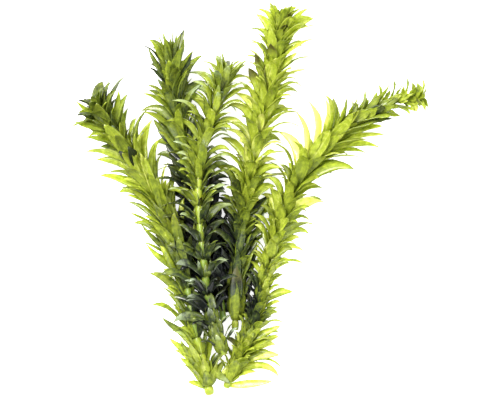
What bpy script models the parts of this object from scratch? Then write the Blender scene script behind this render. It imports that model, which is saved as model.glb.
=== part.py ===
"""A loose bunch of five cut shoots of Brazilian waterweed, lying on a flat surface.

The shoots lie with their cut ends towards -Y and their tips towards +Y, and fan out at the tips.
Each shoot has a stem, rings of leaves standing apart along it, and a crown of packed young leaves.
All sizes below are in millimetres and degrees. MM turns them into metres where a mesh is made.
"""

import math
import random
from typing import NamedTuple

import bmesh
import bpy
from mathutils import Vector
from mathutils.bvhtree import BVHTree

MM = 0.001
SEED = 11

# Stem
STEM_SIDES = 6
STEM_NODE_RADIUS = 1.5
STEM_SWELL_RADIUS = 1.75
CLEARANCE = 0.32

# Ring of leaves round a stem node
WHORL_SIDES = 6
COLLAR_INNER_RADIUS = (STEM_NODE_RADIUS + CLEARANCE) / math.cos(math.pi / WHORL_SIDES) + 0.03
COLLAR_OUTER_RADIUS = 2.75
COLLAR_BELOW = 1.0
COLLAR_ABOVE = 1.4
COLLAR_LIP = 0.05
FIRST_WHORL = 5.0

# Each leaf ring is turned a little further or less than half a leaf from the last, in radians
WHORL_DRIFT = 0.12
DRIFT_STEP = 2.4

# Crown
CROWN_SIDES = 5
CROWN_ROOT_RADIUS = 1.75
CROWN_TIP_RADIUS = 0.6
CROWN_TAPER = 22.0
BUD_LENGTH = 3.0
BUD_REACH = 0.8
BUD_GAP = 2.2

# Leaves
LEAF_THICKNESS = 0.7
LEAF_SPREAD = 0.75
SURFACE_GAP = 0.3
LEAF_ROOM = 0.22
OWN_ROOM = 0.05
ROOT_TRIM = 0.01
STEM_TRIM = 0.45
NEIGHBOUR_SHARE = 0.9
FULL_STATIONS = ((0.3, 1.0), (0.7, 0.74))
SHORT_STATIONS = ((0.55, 1.0),)

# A crown's leaves that face up by more than this cosine bend at two places, its other leaves at one
FACING_UP = 0.4

# Leaf rings leave out the leaves that face up by more than this cosine where the stem shows
BARE_FACING_UP = 0.88

# Leaves that stand out sideways have flopped over under their own weight, most at their tips
LEAF_FLOP = 62.0
LEAST_LEAN = math.radians(4)

# How far one leaf differs from the next: turns in degrees, sizes as shares
SWINGS = (-8, 8)
LENGTHS = (0.9, 1.07)
WIDTHS = (0.92, 1.05)
ROOT_LEANS = (-3, 4)
TIP_LEANS = (-10, 10)
TWISTS = (-18, 18)

# Colours in linear light, and how rough the surfaces are
STEM_GREEN = (0.36, 0.44, 0.06)
LEAF_GREEN = (0.24, 0.36, 0.03)
CROWN_GREEN = (0.16, 0.27, 0.03)
STEM_ROUGHNESS = 0.45
LEAF_ROUGHNESS = 0.4

# Ways a leaf gives way to what is already there: swing round the stem, added lean, length kept
GIVING_WAY = (
    (0, 0, 1.0),
    (8, 0, 1.0),
    (-8, 0, 1.0),
    (0, -8, 1.0),
    (0, 8, 1.0),
    (15, -4, 1.0),
    (-15, -4, 1.0),
    (0, -16, 1.0),
    (12, -12, 0.9),
    (-12, -12, 0.9),
    (24, -8, 0.9),
    (-24, -8, 0.9),
    (0, -24, 0.9),
    (16, -24, 0.9),
    (-16, -24, 0.9),
    (0, 14, 0.8),
    (0, -16, 0.65),
    (20, -20, 0.6),
    (-20, -20, 0.6),
    (0, 0, 0.5),
)


class Shoot(NamedTuple):
    """One cut shoot. The route's points run along its middle from the cut end to its tip.

    Each line of growth is a distance below the apex, then the length and width of the leaves
    there and their lean away from the stem at root and tip, in degrees.
    """

    name: str
    route: tuple
    stem_length: float
    whorl_gap: float
    crown_gaps: tuple
    bare_top: tuple
    growth: tuple


SHOOTS = (
    Shoot(
        name="middle",
        route=((-13, -77, 12), (-16.5, -66, 14.5), (-20.5, -50, 17), (-23, -30, 18.5), (-25, -8, 18),
               (-25.5, 10, 16.5), (-22.5, 30, 14), (-17, 46, 12), (-13, 60, 10), (-11, 71, 9.5)),
        stem_length=104,
        whorl_gap=8.9,
        crown_gaps=(6.0, 4.2),
        bare_top=(0, 104),
        growth=((0, 12, 3.6, 8, 40), (8, 16, 4.4, 18, 70), (18, 20, 4.9, 24, 98), (50, 20, 5.2, 24, 104),
                (150, 18, 5.2, 26, 90)),
    ),
    Shoot(
        name="left",
        route=((-20, -97.5, 7), (-23.5, -82, 9), (-28, -62, 11), (-31, -44, 12), (-35, -25, 12),
               (-41, -8, 11), (-49, 6, 10), (-59, 21, 9), (-67.5, 33, 8.5), (-74, 43.5, 8.5), (-80, 55, 9)),
        stem_length=90,
        whorl_gap=8.4,
        crown_gaps=(6.5, 4.4),
        bare_top=(0, 44),
        growth=((0, 13, 4.0, 10, 52), (6, 18, 5.2, 18, 74), (20, 22, 5.6, 22, 72), (45, 24, 5.6, 20, 60),
                (80, 24, 5.6, 18, 56), (120, 20.5, 5.6, 18, 58), (165, 17, 5.2, 18, 62)),
    ),
    Shoot(
        name="right",
        route=((-12, -94, 7), (-7, -82, 8.5), (-0.5, -67, 10), (4.5, -52, 11.5), (7.5, -38, 12),
               (12, -20, 12), (18, -3, 11), (25, 12, 10), (33.5, 23, 9), (44, 33.5, 8.5), (55, 41.5, 8.5),
               (65, 46.5, 8), (73, 49.5, 8), (82, 51, 7.5), (92.5, 51.5, 7.5)),
        stem_length=98,
        whorl_gap=8.4,
        crown_gaps=(6.5, 4.4),
        bare_top=(0, 0),
        growth=((0, 7, 2.6, 8, 40), (6, 10, 2.4, 22, 92), (18, 11, 2.8, 24, 100), (23, 19, 4.8, 8, 28),
                (40, 19, 5.2, 16, 44), (60, 22, 5.6, 24, 66), (92, 20, 5.6, 20, 90), (112, 18, 5.6, 18, 90),
                (128, 14, 5.6, 16, 84), (152, 13.5, 5.6, 16, 78), (189, 18, 5.6, 16, 92)),
    ),
    Shoot(
        name="tall",
        route=((-7.5, -65, 7), (-7, -45, 8), (-6, -28, 8.5), (-3.5, -8, 9), (0, 12, 9.5), (4, 33, 9),
               (8.5, 53, 8.5), (12.5, 73, 8.5), (15, 86, 9), (16.5, 98, 9.5)),
        stem_length=66,
        whorl_gap=8.0,
        crown_gaps=(6.5, 4.4),
        bare_top=(16, 30),
        growth=((0, 12, 4.2, 8, 42), (8, 17, 5.0, 18, 72), (30, 20, 5.3, 20, 78), (60, 20, 5.4, 22, 92),
                (100, 20, 5.5, 22, 104), (134, 20, 5.6, 22, 92), (147, 24, 5.8, 5, 12)),
    ),
    Shoot(
        name="back",
        route=((-13.5, -60, 6.5), (-16, -40, 6.5), (-21, -15, 7), (-28, 10, 7.5), (-34, 32, 8),
               (-38, 52, 8.5), (-39, 68, 9), (-37.5, 81, 9.5)),
        stem_length=72,
        whorl_gap=8.6,
        crown_gaps=(6.5, 4.4),
        bare_top=(0, 0),
        growth=((0, 18, 4.8, 8, 32), (8, 22, 5.6, 14, 44), (30, 21, 5.6, 18, 76), (60, 20, 5.6, 22, 92),
                (130, 19, 5.6, 24, 80)),
    ),
)


class Leaf(NamedTuple):
    """One leaf, bent in the plane of the stem's direction and its own way outward.

    Its crowding is the widest that it can be for each millimetre from the stem's middle, where
    the leaves beside it begin.
    """

    base: Vector
    base_radius: float
    crowding: float
    along: Vector
    outward: Vector
    length: float
    width: float
    lean: tuple
    twist: float
    stem_height: float
    stations: tuple


class Route:
    """A smooth line through hand-placed points, measured by the distance along it."""

    STEPS = 24

    def __init__(self, points):
        knots = [Vector(point) for point in points]
        knots = [2 * knots[0] - knots[1], *knots, 2 * knots[-1] - knots[-2]]
        self.points = []
        for first, start, end, last in zip(knots, knots[1:], knots[2:], knots[3:]):
            for step in range(self.STEPS):
                self.points.append(self.blend(first, start, end, last, step / self.STEPS))
        self.points.append(knots[-2])
        self.distances = [0.0]
        for start, end in zip(self.points, self.points[1:]):
            self.distances.append(self.distances[-1] + (end - start).length)
        self.length = self.distances[-1]

    @staticmethod
    def blend(first, start, end, last, t):
        """A point of the Catmull-Rom curve between start and end."""
        slope_in = (end - first) / 2
        slope_out = (last - start) / 2
        return (start * (2 * t**3 - 3 * t**2 + 1) + slope_in * (t**3 - 2 * t**2 + t)
                + end * (3 * t**2 - 2 * t**3) + slope_out * (t**3 - t**2))

    def point(self, distance):
        distance = min(max(distance, 0.0), self.length)
        for index in range(1, len(self.points)):
            if self.distances[index] >= distance:
                break
        start, end = self.distances[index - 1], self.distances[index]
        return self.points[index - 1].lerp(self.points[index], (distance - start) / (end - start))

    def frame(self, distance):
        """The middle of the stem, its direction, and the two directions across it, up first."""
        along = (self.point(distance + 1) - self.point(distance - 1)).normalized()
        up = (Vector((0, 0, 1)) - along * along.z).normalized()
        return self.point(distance), along, up, along.cross(up)

    def around(self, distance, angle, radius):
        """A point at a radius from the stem's middle, with the angle measured from straight up."""
        middle, _, up, side = self.frame(distance)
        return middle + (up * math.cos(angle) + side * math.sin(angle)) * radius


def smooth_step(value):
    value = min(max(value, 0.0), 1.0)
    return value * value * (3 - 2 * value)


def mix(start, end, share):
    return start + (end - start) * share


def apex_distance(shoot, route):
    """Where the stem itself ends: the leaves of the bud reach on from there to the shoot's tip."""
    return route.length - shoot.growth[0][1] * BUD_REACH


def growth_at(shoot, below_apex):
    """The length, width and two leans of the leaves at a distance below the apex."""
    lines = shoot.growth
    for upper, lower in zip(lines, lines[1:]):
        if below_apex <= lower[0]:
            share = max(below_apex - upper[0], 0.0) / (lower[0] - upper[0])
            return [mix(start, end, share) for start, end in zip(upper[1:], lower[1:])]
    return list(lines[-1][1:])


def lower_whorls(shoot):
    """The distances of the rings of leaves that stand apart on the lower stem."""
    count = int((shoot.stem_length - FIRST_WHORL) / shoot.whorl_gap)
    return [FIRST_WHORL + shoot.whorl_gap * index for index in range(count)]


def crown_rings(shoot, route):
    """The distances of the crown's rings, closer together towards the apex."""
    rings = [shoot.stem_length + CLEARANCE]
    apex = apex_distance(shoot, route)
    while rings[-1] < apex - BUD_LENGTH - 1:
        height = (rings[-1] - shoot.stem_length) / (apex - shoot.stem_length)
        young = smooth_step((apex - rings[-1]) / CROWN_TAPER)
        rings.append(rings[-1] + mix(BUD_GAP, mix(*shoot.crown_gaps, height), young))
    return rings


def leaf_at(shoot, route, distance, angle, base, sides, chance):
    """The leaf that grows at this distance and angle before anything is in its way.

    Leaves bend at two stations, but those of a crown that face sideways or down at only one.
    """
    middle, along, up, side = route.frame(distance)
    length, width, root_lean, tip_lean = growth_at(shoot, apex_distance(shoot, route) - distance)
    from_middle = base - middle
    full = distance < shoot.stem_length or math.cos(angle) > FACING_UP
    angle += math.radians(chance.uniform(*SWINGS))
    return Leaf(
        base=base,
        base_radius=(from_middle - along * from_middle.dot(along)).length,
        crowding=2 * math.tan(math.pi / sides) * NEIGHBOUR_SHARE,
        along=along,
        outward=up * math.cos(angle) + side * math.sin(angle),
        length=length * chance.uniform(*LENGTHS),
        width=width * chance.uniform(*WIDTHS),
        lean=(math.radians(root_lean + chance.uniform(*ROOT_LEANS)),
              math.radians(tip_lean + chance.uniform(*TIP_LEANS))),
        twist=math.radians(LEAF_FLOP * math.sin(angle) + chance.uniform(*TWISTS)),
        stem_height=route.point(distance).z,
        stations=FULL_STATIONS if full else SHORT_STATIONS,
    )


def give_way(leaf, swing, lean, kept):
    """The same leaf swung round its stem, leaned and shortened."""
    turn = math.radians(swing)
    across = leaf.along.cross(leaf.outward)
    return leaf._replace(
        outward=leaf.outward * math.cos(turn) + across * math.sin(turn),
        lean=(max(leaf.lean[0] + math.radians(lean) / 3, LEAST_LEAN),
              max(leaf.lean[1] + math.radians(lean) * 2, LEAST_LEAN * 2)),
        length=leaf.length * kept,
    )


def press(point, leaf):
    """Leaves under the stem are pressed between it and the surface, those above sag a little."""
    offset = point.z - leaf.stem_height
    beyond = abs(offset) - COLLAR_OUTER_RADIUS
    if beyond <= 0:
        return point
    room = leaf.stem_height - SURFACE_GAP - COLLAR_OUTER_RADIUS
    kept = LEAF_SPREAD if offset > 0 else min(room / (leaf.length * LEAF_SPREAD), 1.0)
    height = math.copysign(COLLAR_OUTER_RADIUS + beyond * kept, offset)
    return Vector((point.x, point.y, leaf.stem_height + height))


def leaf_section(leaf, share, width, thickness, room=0.0):
    """The left edge, right edge and inner ridge of the blade at a share of its length."""
    start, end = leaf.lean
    turn = end - start
    angle = start + turn * share
    reach = leaf.length * (math.cos(start) - math.cos(angle)) / turn
    rise = leaf.length * (math.sin(angle) - math.sin(start)) / turn
    middle = leaf.base + leaf.outward * reach + leaf.along * rise
    across = leaf.along.cross(leaf.outward)
    inner = leaf.along * math.sin(angle) - leaf.outward * math.cos(angle)
    width = min(width, (leaf.base_radius + reach) * leaf.crowding)
    roll = leaf.twist * share
    side = across * math.cos(roll) + inner * math.sin(roll)
    ridge = inner * math.cos(roll) - across * math.sin(roll)
    half = side * (width / 2 + room)
    outer = middle - ridge * room
    corners = (outer - half, outer + half, middle + ridge * (thickness + room))
    return [press(corner, leaf) for corner in corners]


def blade(leaf, root, room=0.0):
    """A leaf's sections from its root to its tip, which is the last one and a single point."""
    sections = [root]
    for share, width in leaf.stations:
        sections.append(leaf_section(leaf, share, width * leaf.width, LEAF_THICKNESS * width, room))
    sections.append([leaf_section(leaf, 1.0, 0.0, 0.0)[0]])
    return sections


def splits_forward(lower, upper, corner):
    """Whether a side between two sections bulges out, and not in, when it is split from this corner."""
    following, opposite = (corner + 1) % 3, (corner + 2) % 3
    inside = lower[opposite] + upper[opposite]
    forward = lower[corner] + upper[following] - inside
    backward = lower[following] + upper[corner] - inside
    return forward.length >= backward.length


def blade_triangles(sections):
    """The corners of each face of a blade's sides, counted from its root up."""
    triangles = []
    for level, (lower, upper) in enumerate(zip(sections, sections[1:-1])):
        for corner in range(3):
            low, low_next = level * 3 + corner, level * 3 + (corner + 1) % 3
            high, high_next = low + 3, low_next + 3
            if splits_forward(lower, upper, corner):
                triangles += [(low, low_next, high_next), (low, high_next, high)]
            else:
                triangles += [(low, low_next, high), (low_next, high_next, high)]
    last = (len(sections) - 2) * 3
    triangles += [(last + corner, last + (corner + 1) % 3, last + 3) for corner in range(3)]
    return triangles


def shell(sections, trim=ROOT_TRIM):
    """A search tree of the blade's sides, for telling whether two leaves meet.

    It starts a little way out from the root, because leaves side by side share their roots' corners.
    """
    trimmed = [corner.lerp(outer, trim) for corner, outer in zip(sections[0], sections[1])]
    points = [point for section in (trimmed, *sections[1:]) for point in section]
    return points, BVHTree.FromPolygons(points, blade_triangles((trimmed, *sections[1:])))


def crosses_itself(sections):
    triangles = blade_triangles(sections)
    _, tree = shell(sections)
    return any(not set(triangles[one]) & set(triangles[other]) for one, other in tree.overlap(tree))


def box(points):
    """The lowest and highest corner of what holds the points."""
    return ([min(point[axis] for point in points) for axis in range(3)],
            [max(point[axis] for point in points) for axis in range(3)])


class Room:
    """What is already in place, and whether a new leaf would meet it."""

    def __init__(self):
        self.things = []

    def add(self, owner, points, tree, is_stem=False):
        self.things.append((owner, box(points), tree, is_stem))

    def add_tube(self, owner, rings):
        points = [point for ring in rings for point in ring]
        sides = len(rings[0])
        faces = []
        for level in range(len(rings) - 1):
            for corner in range(sides):
                following = (corner + 1) % sides
                lower, upper = level * sides, (level + 1) * sides
                faces.append((lower + corner, lower + following, upper + following, upper + corner))
        self.add(owner, points, BVHTree.FromPolygons(points, faces), is_stem=True)

    def is_free(self, own, leaf, root):
        """Clear of everything, of its own stem beyond the root, and of itself where it twists."""
        if crosses_itself(blade(leaf, root)):
            return False
        points, wide = shell(blade(leaf, root, LEAF_ROOM))
        _, close = shell(blade(leaf, root, OWN_ROOM))
        _, outer = shell(blade(leaf, root, OWN_ROOM), STEM_TRIM)
        low, high = box(points)
        for owner, (other_low, other_high), other, is_stem in self.things:
            if any(low[axis] > other_high[axis] or high[axis] < other_low[axis] for axis in range(3)):
                continue
            if owner != own:
                reach = wide
            elif is_stem:
                reach = outer
            else:
                reach = close
            if reach.overlap(other):
                return False
        return True


def stem_rings(shoot, route):
    """Rings of points round the stem, narrow at each leaf ring and swollen between them."""
    nodes = lower_whorls(shoot)
    swells = [(start + end) / 2 for start, end in zip(nodes, nodes[1:])]
    stops = [(0.0, STEM_SWELL_RADIUS), (nodes[-1] + shoot.whorl_gap / 2, STEM_SWELL_RADIUS)]
    stops += [(distance, STEM_NODE_RADIUS) for distance in nodes]
    stops += [(distance, STEM_SWELL_RADIUS) for distance in swells]
    stops += [(shoot.stem_length, STEM_SWELL_RADIUS)]
    return [ring(route, distance, radius, STEM_SIDES, 0.0) for distance, radius in sorted(stops)]


def ring(route, distance, radius, sides, offset):
    return [route.around(distance, offset + math.tau * corner / sides, radius) for corner in range(sides)]


def whorl_offset(number):
    """How far a leaf ring is turned round its stem: each one stands in the gaps of the last."""
    return math.pi / WHORL_SIDES * (number % 2) + WHORL_DRIFT * math.sin(DRIFT_STEP * number)


def collar_rings(route, distance, offset):
    """The outer lower, upper and inner lower rings of a leaf ring's collar."""
    half_side = math.pi / WHORL_SIDES
    upper_radius = COLLAR_INNER_RADIUS + COLLAR_LIP
    return (
        ring(route, distance - COLLAR_BELOW, COLLAR_OUTER_RADIUS, WHORL_SIDES, offset),
        ring(route, distance + COLLAR_ABOVE, upper_radius, WHORL_SIDES, offset + half_side),
        ring(route, distance - COLLAR_BELOW, COLLAR_INNER_RADIUS, WHORL_SIDES, offset),
    )


def crown_radius(shoot, route, distance):
    youth = smooth_step((apex_distance(shoot, route) - distance) / CROWN_TAPER)
    return mix(CROWN_TIP_RADIUS, CROWN_ROOT_RADIUS, youth)


class Band(NamedTuple):
    """A strip of stem surface with a leaf root on each side, and the leaves grown on them."""

    owner: str
    lower: list
    upper: list
    leaves: list


def grow(shoot, route, room, owner, distance, lower, upper, offset, missing, chance):
    """Finds each root of a band a leaf that meets nothing, or leaves the root bare."""
    sides = len(lower)
    leaves = []
    for corner in range(sides):
        root = [lower[corner], lower[(corner + 1) % sides], upper[corner]]
        angle = offset + math.tau * (corner + 0.5) / sides
        natural = leaf_at(shoot, route, distance, angle, sum(root, Vector()) / 3, sides, chance)
        if corner in missing:
            leaves.append(None)
            continue
        for way in GIVING_WAY:
            leaf = give_way(natural, *way)
            if room.is_free(owner, leaf, root):
                leaves.append(leaf)
                room.add(owner, *shell(blade(leaf, root)))
                break
        else:
            leaves.append(None)
    return Band(owner, lower, upper, leaves)


def bare_corners(shoot, distance, offset):
    """The roots of a leaf ring that carry no leaf, where the stem shows from above."""
    missing = set()
    start, end = shoot.bare_top
    for corner in range(WHORL_SIDES):
        angle = offset + math.tau * (corner + 0.5) / WHORL_SIDES
        if start <= distance <= end and math.cos(angle) > BARE_FACING_UP:
            missing.add(corner)
    return missing


def arrange():
    """The bands of every shoot, with leaves that give way to each other."""
    routes = {shoot.name: Route(shoot.route) for shoot in SHOOTS}
    room = Room()
    for shoot in SHOOTS:
        route = routes[shoot.name]
        room.add_tube(f"stem_{shoot.name}", stem_rings(shoot, route))
        crown = [ring(route, distance, crown_radius(shoot, route, distance), CROWN_SIDES, 0.0)
                 for distance in crown_rings(shoot, route)]
        room.add_tube(f"crown_{shoot.name}", crown)
        for number, distance in enumerate(lower_whorls(shoot), 1):
            lower, upper, _ = collar_rings(route, distance, whorl_offset(number))
            room.add_tube(f"whorl_{shoot.name}_{number:02d}", (lower, upper))
    whorls, crowns = {}, {}
    for shoot in SHOOTS:
        route = routes[shoot.name]
        chance = random.Random(f"{SEED} {shoot.name}")
        for number, distance in enumerate(lower_whorls(shoot), 1):
            owner = f"whorl_{shoot.name}_{number:02d}"
            offset = whorl_offset(number)
            lower, upper, inner = collar_rings(route, distance, offset)
            missing = bare_corners(shoot, distance, offset)
            band = grow(shoot, route, room, owner, distance, lower, upper, offset, missing, chance)
            whorls[owner] = (band, inner)
        owner = f"crown_{shoot.name}"
        crowns[owner] = []
        distances = crown_rings(shoot, route)
        for number, (start, end) in enumerate(zip(distances, distances[1:])):
            offset = math.pi / CROWN_SIDES * number
            lower = ring(route, start, crown_radius(shoot, route, start), CROWN_SIDES, offset)
            upper = ring(route, end, crown_radius(shoot, route, end), CROWN_SIDES,
                         offset + math.pi / CROWN_SIDES)
            crowns[owner].append(grow(shoot, route, room, owner, start, lower, upper, offset, set(), chance))
    return routes, whorls, crowns


def material(name, colour, roughness):
    made = bpy.data.materials.new(name)
    made.use_nodes = True
    surface = made.node_tree.nodes["Principled BSDF"]
    surface.inputs["Base Color"].default_value = (*colour, 1.0)
    surface.inputs["Roughness"].default_value = roughness
    surface.inputs["Metallic"].default_value = 0.0
    made.diffuse_color = (*colour, 1.0)
    return made


def finish_mesh(bm, name, origin, look, bunch):
    """Turns a mesh in millimetres into an object placed at its origin and held by the bunch."""
    bmesh.ops.recalc_face_normals(bm, faces=bm.faces)
    for vertex in bm.verts:
        vertex.co = (vertex.co - origin) * MM
    mesh = bpy.data.meshes.new(name)
    bm.to_mesh(mesh)
    bm.free()
    mesh.materials.append(look)
    thing = bpy.data.objects.new(name, mesh)
    thing.location = origin * MM
    thing.parent = bunch
    bpy.context.collection.objects.link(thing)
    return thing


def grow_blade(bm, root, leaf):
    """Draws a leaf out of its root's three corners and closes it at the tip."""
    sections = blade(leaf, [corner.co.copy() for corner in root])
    corners = root + [bm.verts.new(point) for section in sections[1:] for point in section]
    for triangle in blade_triangles(sections):
        bm.faces.new([corners[number] for number in triangle])


def leafy_side(bm, lower, upper, band):
    """The strip between two rings of vertices, with a leaf or a plain face on each of its roots."""
    sides = len(lower)
    for corner, leaf in enumerate(band.leaves):
        following = (corner + 1) % sides
        root = [lower[corner], lower[following], upper[corner]]
        if leaf is None:
            bm.faces.new(root)
        else:
            grow_blade(bm, root, leaf)
        bm.faces.new((upper[corner], lower[following], upper[following]))


def make_stem(shoot, route, look, bunch):
    bm = bmesh.new()
    rings = [[bm.verts.new(point) for point in points] for points in stem_rings(shoot, route)]
    bm.faces.new(reversed(rings[0]))
    for lower, upper in zip(rings, rings[1:]):
        for corner in range(STEM_SIDES):
            following = (corner + 1) % STEM_SIDES
            bm.faces.new((lower[corner], lower[following], upper[following], upper[corner]))
    bm.faces.new(rings[-1])
    finish_mesh(bm, f"stem_{shoot.name}", route.point(0), look, bunch)


def make_whorl(band, inner, look, bunch):
    bm = bmesh.new()
    outer_ring = [bm.verts.new(point) for point in band.lower]
    upper_ring = [bm.verts.new(point) for point in band.upper]
    inner_ring = [bm.verts.new(point) for point in inner]
    for corner in range(WHORL_SIDES):
        following = (corner + 1) % WHORL_SIDES
        bm.faces.new((outer_ring[following], outer_ring[corner], inner_ring[corner], inner_ring[following]))
        bm.faces.new((inner_ring[following], inner_ring[corner], upper_ring[corner]))
        bm.faces.new((inner_ring[following], upper_ring[corner], upper_ring[following]))
    leafy_side(bm, outer_ring, upper_ring, band)
    finish_mesh(bm, band.owner, sum(inner, Vector()) / WHORL_SIDES, look, bunch)


def make_crown(shoot, route, bands, look, bunch):
    bm = bmesh.new()
    lower = [bm.verts.new(point) for point in bands[0].lower]
    bm.faces.new(reversed(lower))
    for band in bands:
        upper = [bm.verts.new(point) for point in band.upper]
        leafy_side(bm, lower, upper, band)
        lower = upper
    apex = bm.verts.new(route.point(apex_distance(shoot, route)))
    for corner in range(CROWN_SIDES):
        bm.faces.new((lower[corner], lower[(corner + 1) % CROWN_SIDES], apex))
    finish_mesh(bm, f"crown_{shoot.name}", bands[0].lower[0], look, bunch)


def centre_on_surface(bunch):
    """Moves the bunch so that its box is centred over the origin and rests on the surface."""
    bpy.context.view_layer.update()
    points = [thing.matrix_world @ vertex.co for thing in bunch.children for vertex in thing.data.vertices]
    low, high = box(points)
    bunch.location = (-(low[0] + high[0]) / 2, -(low[1] + high[1]) / 2, -low[2])


def main():
    for thing in list(bpy.data.objects):
        bpy.data.objects.remove(thing)
    bunch = bpy.data.objects.new("bunch", None)
    bpy.context.collection.objects.link(bunch)
    stem_look = material("stem_green", STEM_GREEN, STEM_ROUGHNESS)
    leaf_look = material("leaf_green", LEAF_GREEN, LEAF_ROUGHNESS)
    crown_look = material("crown_green", CROWN_GREEN, LEAF_ROUGHNESS)
    routes, whorls, crowns = arrange()
    for shoot in SHOOTS:
        make_stem(shoot, routes[shoot.name], stem_look, bunch)
        make_crown(shoot, routes[shoot.name], crowns[f"crown_{shoot.name}"], crown_look, bunch)
    for band, inner in whorls.values():
        make_whorl(band, inner, leaf_look, bunch)
    centre_on_surface(bunch)


main()
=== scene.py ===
"""A loose bunch of five cut shoots of Brazilian waterweed, lying on a pale floor and seen from above.

Each shoot has a stem, rings of leaves standing apart along it, and a crown of packed young leaves.
A leaf grows on each leaf solid of the CAD model, and finer ones stand between those.
Lengths in the tables are in millimetres, and MM turns them into metres. Settings are in metres.
"""

import math
import random
from typing import NamedTuple

import bmesh
import bpy
from mathutils import Matrix, Vector


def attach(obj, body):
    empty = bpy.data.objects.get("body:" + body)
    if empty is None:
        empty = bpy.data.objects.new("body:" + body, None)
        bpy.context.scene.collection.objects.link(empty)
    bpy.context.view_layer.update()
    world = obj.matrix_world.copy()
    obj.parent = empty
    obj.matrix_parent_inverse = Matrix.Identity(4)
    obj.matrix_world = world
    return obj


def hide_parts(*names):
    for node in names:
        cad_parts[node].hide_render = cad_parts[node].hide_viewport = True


bl_info = {
    "name": "Brazilian Waterweed",
    "version": (1, 0, 0),
    "blender": (4, 5, 0),
    "location": "3D View > Sidebar > Waterweed",
    "description": "Builds a loose bunch of five cut shoots of waterweed on a pale floor",
    "category": "Object",
}

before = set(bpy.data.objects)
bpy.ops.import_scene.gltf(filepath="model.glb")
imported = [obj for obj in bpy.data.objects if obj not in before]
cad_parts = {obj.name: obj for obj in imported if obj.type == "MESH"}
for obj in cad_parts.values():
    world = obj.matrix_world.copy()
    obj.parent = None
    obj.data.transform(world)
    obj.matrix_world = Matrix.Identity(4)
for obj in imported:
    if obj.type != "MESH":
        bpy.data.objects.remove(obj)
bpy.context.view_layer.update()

MM = 0.001
SEED = 23


# The five shoots

class Shoot(NamedTuple):
    """One cut shoot. Distances start at the cut end, but those of growth and tones at the tip.

    The route runs along the stem's middle to its tip, and the crown starts at stem_length. Whorls
    are the CAD model's rings below it. The radii are those where leaves grow and between them. Past
    filled_from, wide gaps between rings hold further rings, and between is how likely a gap at the
    side of the lower stem is to hold a leaf. Each line of growth is a distance, how large the leaves
    are there against the CAD model's, how far they lean out, in degrees, how much larger they are on
    the right than on the left, and how wide. Each line of tones is a distance and how light leaves
    are, and root_shade how much painted shade darkens them at the root. Shade is how much of the
    bunch's painted shade falls on the shoot. Strip is the stretch where leaves stand along the edges
    of bare stem, and clasped the one with old leaf bases. The stem is lighter than the leaves by
    stem_paler.
    """

    name: str
    route: tuple
    stem_length: float
    whorls: int
    radii: tuple
    filled_from: float
    between: float
    growth: tuple
    shade: float
    tones: tuple
    root_shade: float = 0.16
    strip: tuple = (0, 0)
    clasped: tuple = (0, 0)
    stem_paler: float = 0.0


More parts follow.
